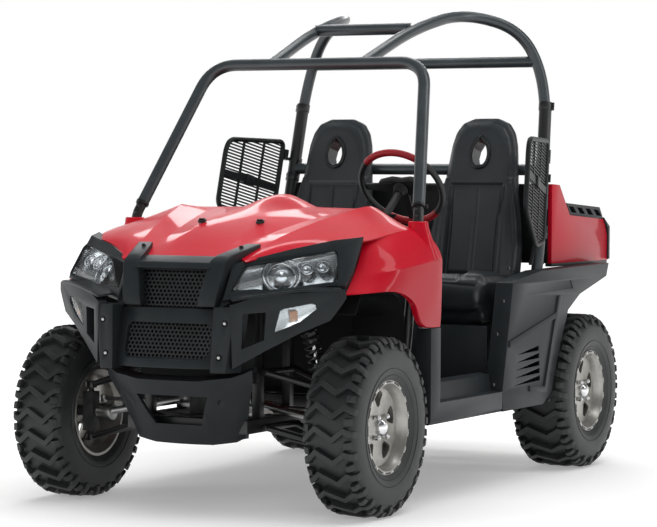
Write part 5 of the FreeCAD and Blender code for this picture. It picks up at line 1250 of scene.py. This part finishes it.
def make_steering_wheel():
    grip = tube(arc(GRIP_RADIUS, 0, 352.5, 47), 13, closed=True, sides=5)
    spokes = [moved(soften(loft(SPOKE_FOOT, SPOKE_HEAD), 3.5, segments=3), turn("Z", degrees))
              for degrees in (0, 90, 180)]
    pad = soften(board("Z", -6, 30, *mirrored(PAD_HALF)), 7, segments=4, angle=30)
    sleeves = [tube(arc(GRIP_RADIUS, start, start + 88), 14.4, sides=5) for start in (46, 226)]
    hand_over(moved(joined(grip, pad, *spokes), ONTO_COLUMN), "steering_wheel_moulding",
              black_rubber, "steering_wheel", body="steering")
    hand_over(moved(joined(*sleeves), ONTO_COLUMN), "grip_sleeves", red_leather, body="steering")


def make_column():
    """The column's shaft, and the four shrinking rings of the boot at its top."""
    rings = []
    for top, radius in ((-12, 29), (-20, 26), (-28, 23), (-36, 20)):
        rings.append(soften(turned([(top - 8, radius), (top - 4, radius + 2), (top, radius),
                                    (top, 14), (top - 8, 14)], 32), 1))
    drop = 1.2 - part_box("steering_column")[0].z
    length = drop / math.cos(math.radians(COLUMN_LEAN)) / MM
    shaft = turned([(-30, 0.5), (-30, 15), (60 - length, 15), (50 - length, 26), (-length, 26),
                    (-length, 0.5)], 32)
    column = moved(joined(soften(shaft), *rings), ONTO_COLUMN @ turn("Y", -90))
    hand_over(column, "column_and_boot", black_rubber, "steering_column")


make_steering_wheel()
make_column()

# %% [markdown]
# ## The side guards
#
# Each guard is a loop of bent tube that hangs on the rear post and is filled with a moulded net
# of flat slats. The slats are laid row by row: each one is as long as the loop is wide at its
# height. They are drawn in the guard's own plane and carried to its hinge pin.

# %% Side guards
SLATS, SLAT_START, SLAT_PITCH, SHORTEST_SLAT = 33, -26, 13.6, 40
BAND_LOW, BAND_HIGH = 196, 232
GUARD_LOOP = [(27, 0, 431), (380, 0, 361), (400, 0, 317), (400, 0, 70), (168, 0, -44), (27, 0, 0)]


def guard_place(side):
    up = Vector((side * -0.048262, 0.203209, 0.977945))
    forward = Vector((side * 0.2, -1, 0))
    forward = (forward - up * forward.dot(up)).normalized()
    axes = Matrix((forward, up.cross(forward), up)).transposed().to_4x4()
    return shift(side * 646.483, 626.596, 968.482) @ axes


def width_at(corners, level):
    """The two ends of a level line inside an outline in the XZ plane."""
    ends = []
    for (x1, _, z1), (x2, _, z2) in zip(corners, corners[1:] + corners[:1]):
        if (z1 - level) * (z2 - level) < 0:
            ends.append(x1 + (x2 - x1) * (level - z1) / (z2 - z1))
    return min(ends), max(ends)


def make_guard():
    slats = []
    for index in range(SLATS):
        level = SLAT_START + SLAT_PITCH * index
        if not BAND_LOW < level < BAND_HIGH:
            low, high = width_at(GUARD_LOOP, level)
            if high - low > SHORTEST_SLAT:
                slats.append(board("Y", -3, 6, (low, level - 4), (high, level - 2),
                                   (high, level + 5), (low, level + 3)))
    band = board("Y", -7, 14, (27, 200), (400, 196), (400, 226), (27, 232))
    ribs = [slab(150, -5, -30, 9, 10, 432), slab(282, -5, 10, 9, 10, 368)]
    latch = soften(board("Y", -16, 30, (196, 190), (248, 194), (248, 238), (196, 236)), 4)
    net = soften(joined(band, *slats, *ribs), 1, segments=1)
    loop = tube(rounded(GUARD_LOOP, 34, closed=True), 11, closed=True)
    sleeves = []
    for level in (44, 370):
        sleeves.append(soften(peg((0, 0, level + 15), 12, 30, 24, "Z")))
        sleeves.append(soften(board("Y", -5, 10, (6, level + 3), (30, level - 6),
                                    (30, level + 36), (6, level + 27)), 2))
    return joined(loop, net, latch, *sleeves)


def fit_guards():
    guard = make_guard()
    for word, side in SIDES.items():
        thing = moved(copied(guard), guard_place(side))
        hand_over(thing if side > 0 else outward(thing), f"{word}_guard_net", guard_plastic,
                  f"{word}_gate", body=f"{word}_guard")
    bpy.data.objects.remove(guard)


fit_guards()

# %% [markdown]
# ## Shock absorbers
#
# A coil spring of round wire is wound between two seats over a damper: a bright rod that slides
# into a dark body. The wire follows a helix. Each shock is drawn upright from its lower eye and
# is then leant between its two bolts.

# %% Shocks
SHOCKS = {"front": (430, 345, -965), "rear": (422.5, 337.5, 965)}
COILS, COIL_RADIUS, WIRE = 8, 29, 5.5
EYE_HEIGHTS = 499, 785


def make_shock(length):
    """The spring, the dark body with its eyes and spring seats, and the bright rod."""
    low, high = length * 0.16, length * 0.82
    steps = COILS * 18
    turns = [(*(COIL_RADIUS * f(math.radians(20 * i)) for f in (math.cos, math.sin)),
              low + (high - low) * i / steps) for i in range(steps + 1)]
    foot, top = length * 0.42, length * 0.94
    sections = [(36, [(low - 10, 12), (low - 12, 34), (low - 5, 37), (low - 3, 12)]),
                (36, [(high + 3, 12), (high + 5, 37), (high + 12, 34), (high + 10, 12)]),
                (28, [(foot, 0.5), (foot, 21), (length * 0.9, 21), (top, 15), (top, 0.5)])]
    dark = [moved(soften(turned(section, facets), 1.2), turn("Y", -90))
            for facets, section in sections]
    eyes = [soften(peg((0, 0, level), 16, 38), 2) for level in (0, length)]
    rod = smoothed(peg((0, 0, length * 0.25), 8, length * 0.5, 20, "Z"))
    return tube(turns, WIRE, sides=2), joined(*dark, *eyes), rod


def fit_shocks():
    groups = {"springs": (spring_paint, [], []), "bodies": (frame_paint, ["shocks"], []),
              "rods": (chrome, [], [])}
    for foot_x, top_x, along in SHOCKS.values():
        for side in SIDES.values():
            foot, top = (Vector((side * x, along, z)) for x, z in zip((foot_x, top_x), EYE_HEIGHTS))
            lean = (top - foot).to_track_quat("Z", "Y").to_matrix().to_4x4()
            for group, piece in zip(groups.values(), make_shock((top - foot).length)):
                group[2].append(moved(piece, shift(*foot) @ lean))
    for name, (material, nodes, pieces) in groups.items():
        hand_over(joined(*pieces), "shock_" + name, material, *nodes)


fit_shocks()

# %% [markdown]
# ## The cage
#
# The front hoop is one bent tube, and a long bent tube on each side climbs behind the seats and
# runs forward to the hoop. A narrower dark insert joins each leg of the hoop to the stub in the
# fender's boss, held by two bolts. Collars of two halves are clamped round the rear posts, and a
# bracket holds each post's foot.

# %% Cage
HOOP_PATH = [(612, -523.5, 1134), (481, -201, 1691), (-481, -201, 1691), (-612, -523.5, 1134)]
HOOP_STUB = [(562, -560, 397), (627, -560, 1071), (612, -523.5, 1134)]
SIDE_PATH = [(562, 577.5, 399), (617, 640, 867), (579, 800, 1637), (478, 768, 1872),
             (262, 625, 1940), (228, 216, 1849), (207, -201, 1691)]
HOOP_BEND, SIDE_BEND, CAGE_TUBE = 115, 190, 24
COLLARS = [((597, 715, 1240), (579, 800, 1637)), ((583, 780, 1545), (579, 800, 1637))]


def collar(spot, toward, radius=29, length=34):
    """A clamp of two halves round a tube, with its flange and bolts."""
    half = length / 2
    sleeve = turned([(-half, 23), (-half, radius), (half, radius), (half, 23)], 32)
    flange = board("Z", -3, 7, (-half, -radius - 9), (half, -radius - 9), (half, -radius + 3),
                   (-half, -radius + 3))
    bolts = [peg((x, -radius - 4, 0), 4, 16, 6, "Z") for x in (-half / 2, half / 2)]
    along = (Vector(toward) - Vector(spot)).to_track_quat("X", "Z").to_matrix().to_4x4()
    return moved(soften(joined(sleeve, flange, *bolts), 1), shift(*spot) @ along)


def make_cage():
    hoop = tube(rounded(HOOP_PATH, HOOP_BEND, steps=12), CAGE_TUBE, sides=6)
    hand_over(hoop, "hoop_tube", cage_paint, "front_hoop")
    sides = twin(tube(rounded(SIDE_PATH, SIDE_BEND, steps=12), CAGE_TUBE, sides=6))
    hand_over(sides, "side_tubes", cage_paint, "cage_sides")
    foot, top = (Vector(point) for point in HOOP_STUB[1:])
    pieces = [tube(rounded(HOOP_STUB, 60, steps=8), 20, sides=5),
              tube([(605, 690, 1110), (584, 776, 1530)], 27, sides=5),
              soften(board("X", 586, 18, (600, 876), (735, 876), (742, 1010), (672, 1040)), 4),
              collar(top - (top - foot).normalized() * 6, HOOP_PATH[1], 26.5, 12)]
    pieces += [soften(peg(foot.lerp(top, share), 7, 48, 6), 1) for share in (0.35, 0.75)]
    pieces += [collar(*ends) for ends in COLLARS]
    hand_over(twin(joined(*pieces)), "cage_joints", frame_paint)


make_cage()

# %% [markdown]
# ## The bed's trim
#
# A black strip closes the bed side's rear edge. A dark strip under it is painted shade: it stands
# in for the shaded gap below the bed side. The floor has pressed ribs, and the tailgate a raised
# panel with a handle between four smaller fields.

# %% Bed trim
BED_EDGE = [(1338, 1070), (1350, 1062), (1408, 1030), (1410, 884), (1388, 884), (1388, 1018)]


def make_bed_trim():
    edge = soften(board("X", 620, 18, *BED_EDGE), 3)
    # The dark strip under the bed side is painted shade: it stands in for the shaded gap there.
    gap_shade_strip = soften(slab(600, 752, 866, 30, 644, 18), 2)
    hand_over(twin(joined(edge, gap_shade_strip)), "bed_edge_and_gap_shade", fascia_plastic, body="bed")
    ribs = [slab(x, 770, 888, 22, 590, 7) for x in range(-500, 500, 62)]
    hand_over(soften(joined(*ribs), 2), "bed_floor_ribs", floor_plastic, body="bed")


def make_tailgate_trim():
    fields = [board("Y", 1396, 7, *tapered(x, x + 150, 930, 1052, 12))
              for x in (-555, -375, 225, 405)]
    panel = board("Y", 1396, 9, *tapered(-190, 190, 930, 1052, 14))
    carve(panel, board("Y", 1380, 60, *tapered(-74, 74, 1000, 1034, 8)))
    hand_over(soften(joined(panel, *fields), 3.5, segments=3), "tailgate_pressing", red_paint,
              body="tailgate")
    handle = soften(slab(-60, 1397, 1010, 120, 14, 18), 4, segments=3)
    hand_over(handle, "tailgate_handle", fascia_plastic, body="tailgate")


make_bed_trim()
make_tailgate_trim()

# %% [markdown]
# ## Quarter panels and dashboard
#
# The quarter panels are black mouldings with five wedge-shaped louvres in front of the wheel, and
# push rivets along their front edge. The dashboard gets a gauge pod in front of the driver, a row
# of switches and a lidded box beside it.

# %% Quarter panels, rivets and dashboard
RIVETS = [(702, 18, 620), (698, -2, 420), (703, 76, 748), (706, 120, 880), (702, 560, 318)]
LOUVRES, LOUVRE_PITCH, LOUVRE_START = 5, 31, 408


def wedge(index):
    """Cuts one louvre; each one up is a little shorter at both ends."""
    level = LOUVRE_START + LOUVRE_PITCH * index
    rear = 470 - 4 * index
    return board("X", 690, 40, (196 + 8 * index, level - 8), (rear, level - 2),
                 (rear, level + 19))


def make_panels():
    louvres = twin(joined(*[wedge(index) for index in range(LOUVRES)]))
    redraw("quarter_panels", fascia_plastic, 3.5, louvres)
    rivets = [soften(peg(spot, 7, 8, 20, "X"), 2, segments=3) for spot in RIVETS]
    hand_over(twin(joined(*rivets)), "panel_rivets", black_rubber, slot="fascia_plastic")


def make_dash_trim():
    foot = across("Z", 1020, [(262, -352), (418, -352), (404, -440), (276, -440)])
    head = [(276, -368, 1086), (404, -368, 1086), (392, -430, 1078), (288, -430, 1078)]
    pod = soften(loft(foot, head), 10, segments=4)
    rim = soften(turned([(0, 40), (0, 48), (9, 47), (9, 41)], 40))
    moved(rim, shift(340, -352, 1052) @ turn("Z", 90))
    lid = soften(board("Y", -344, 10, *tapered(-500, -190, 900, 1010, -10)), 6, segments=3)
    switches = [soften(slab(x, -346, 940, 24, 14, 38), 4) for x in (60, 98, 136, 174)]
    glass = soften(peg((340, -349, 1052), 41, 4, 40), 1)
    hand_over(joined(pod, rim, lid), "dash_mouldings", fascia_plastic)
    hand_over(joined(*switches), "dash_switches", black_rubber)
    hand_over(glass, "gauge_glass", dark_glass)


make_panels()
make_dash_trim()

# %% [markdown]
# ## Stage, light and camera
#
# The floor and the backdrop are plain white card. To the camera and in reflections the card
# glows up to white outside the vehicle's shadow, and it throws no more light than card does, so
# the vehicle's colours stay as written. The sky is white low down and grey overhead, as in a
# studio whose walls are lit and whose ceiling is not. One big lamp hangs overhead and two stand
# in front, and three narrow strips draw the bright lines along the hood's crests and the tubes.

# %% The floor
def seen_directly(owner, *rays):
    """1 for rays that look at a surface, and 0 for those that only carry its light."""
    path = add_node(owner, "ShaderNodeLightPath")
    node, output = path, rays[0]
    for ray in rays[1:]:
        node = add_node(owner, "ShaderNodeMath", [(0, node, output), (1, path, ray)],
                        operation="MAXIMUM")
        output = "Value"
    return node


def white_card(name):
    material, shader = finish_of(name, "#E6E6E6", 0.9)
    seen = seen_directly(material, "Is Camera Ray", "Is Glossy Ray")
    spot = add_node(material, "ShaderNodeTexCoord")
    reach = add_node(material, "ShaderNodeVectorMath", [(0, spot, "Object")], operation="LENGTH")
    glow = add_node(material, "ShaderNodeMapRange", [("Value", reach, "Value")], From_Min=1.2,
                    From_Max=4.5, To_Min=0.3, To_Max=1.0)
    power = add_node(material, "ShaderNodeMath", [(0, seen, "Value"), (1, glow, "Result")],
                     operation="MULTIPLY")
    wire(material, power, "Value", shader, "Emission Strength")
    shader.inputs["Emission Color"].default_value = linear("#FFFFFF")
    return material


def add_floor():
    floor = fresh(bpy.ops.mesh.primitive_plane_add, size=80)
    floor.name = "studio_floor"
    floor.data.materials.append(white_card("white studio card"))


add_floor()

# %% Lamps and world
def soft_lamp(name, place, aim, size, power, seen):
    """A rectangular lamp; seen says whether glossy faces mirror it."""
    data = bpy.data.lights.new(name, "AREA")
    data.shape = "RECTANGLE"
    data.size, data.size_y = size
    data.energy = power
    lamp = bpy.data.objects.new(name, data)
    lamp.location = place
    lamp.rotation_euler = (Vector(aim) - Vector(place)).to_track_quat("-Z", "Y").to_euler()
    lamp.visible_glossy = seen
    bpy.context.scene.collection.objects.link(lamp)


LAMPS = [
    ("ceiling", (0.3, -0.6, 5.5), (0, 0, 0.6), (6, 6), 230, False),
    ("front_left", (4.0, -7.5, 3.6), (0, 0, 0.8), (3, 3), 100, False),
    ("front_right", (-6.5, -4.5, 3.2), (0, 0, 0.8), (3, 3), 110, False),
    ("strip_left", (3.0, 1.0, 3.6), (0.2, -0.6, 1.0), (0.8, 4.5), 42, True),
    ("strip_back", (-1.6, 3.4, 3.2), (0, -0.6, 1.0), (4.0, 0.6), 46, True),
    ("strip_top", (-0.6, 2.0, 4.8), (0, -0.6, 1.0), (4.0, 0.5), 40, True),
]
for lamp in LAMPS:
    soft_lamp(*lamp)


def studio_world():
    """White low down and grey overhead; what lights the vehicle is weaker than what is seen."""
    world = bpy.data.worlds.new("studio")
    world.use_nodes = True
    bpy.context.scene.world = world
    background = world.node_tree.nodes["Background"]
    spot = add_node(world, "ShaderNodeTexCoord")
    height = add_node(world, "ShaderNodeSeparateXYZ", [("Vector", spot, "Generated")])
    shade = add_node(world, "ShaderNodeMapRange", [("Value", height, "Z")], From_Min=0.1,
                     From_Max=0.42, To_Min=1.0, To_Max=0.16)
    through = seen_directly(world, "Is Camera Ray", "Is Glossy Ray", "Is Transmission Ray")
    part = add_node(world, "ShaderNodeMapRange", [("Value", through, "Value")], To_Min=0.5,
                    To_Max=1.0)
    power = add_node(world, "ShaderNodeMath", [(0, shade, "Result"), (1, part, "Result")],
                     operation="MULTIPLY")
    wire(world, power, "Value", background, "Strength")
    background.inputs["Color"].default_value = linear("#FFFFFF")


studio_world()
bpy.context.scene.view_settings.view_transform = "Standard"

# %% [markdown]
# The camera was fitted to the photograph: it stands about ten metres away with a long lens,
# a little above the hood, and looks slightly down at the front left of the vehicle.

# %% The camera
CAMERA_PLACE = (4.7244, -9.1646, 1.2217)
CAMERA_TURN, CAMERA_DIP, CAMERA_ROLL = 27.49, 1.87, 0.42
FOCAL_PIXELS, PICTURE_WIDTH, SENSOR = 2523.4, 657, 36.0


def add_camera():
    data = bpy.data.cameras.new("portrait")
    data.sensor_width = SENSOR
    data.lens = FOCAL_PIXELS / PICTURE_WIDTH * SENSOR
    camera = bpy.data.objects.new("portrait", data)
    camera.matrix_world = (Matrix.Translation(CAMERA_PLACE) @ turn("Z", CAMERA_TURN)
                           @ turn("X", 90 - CAMERA_DIP) @ turn("Z", CAMERA_ROLL))
    bpy.context.scene.collection.objects.link(camera)
    bpy.context.scene.camera = camera


add_camera()
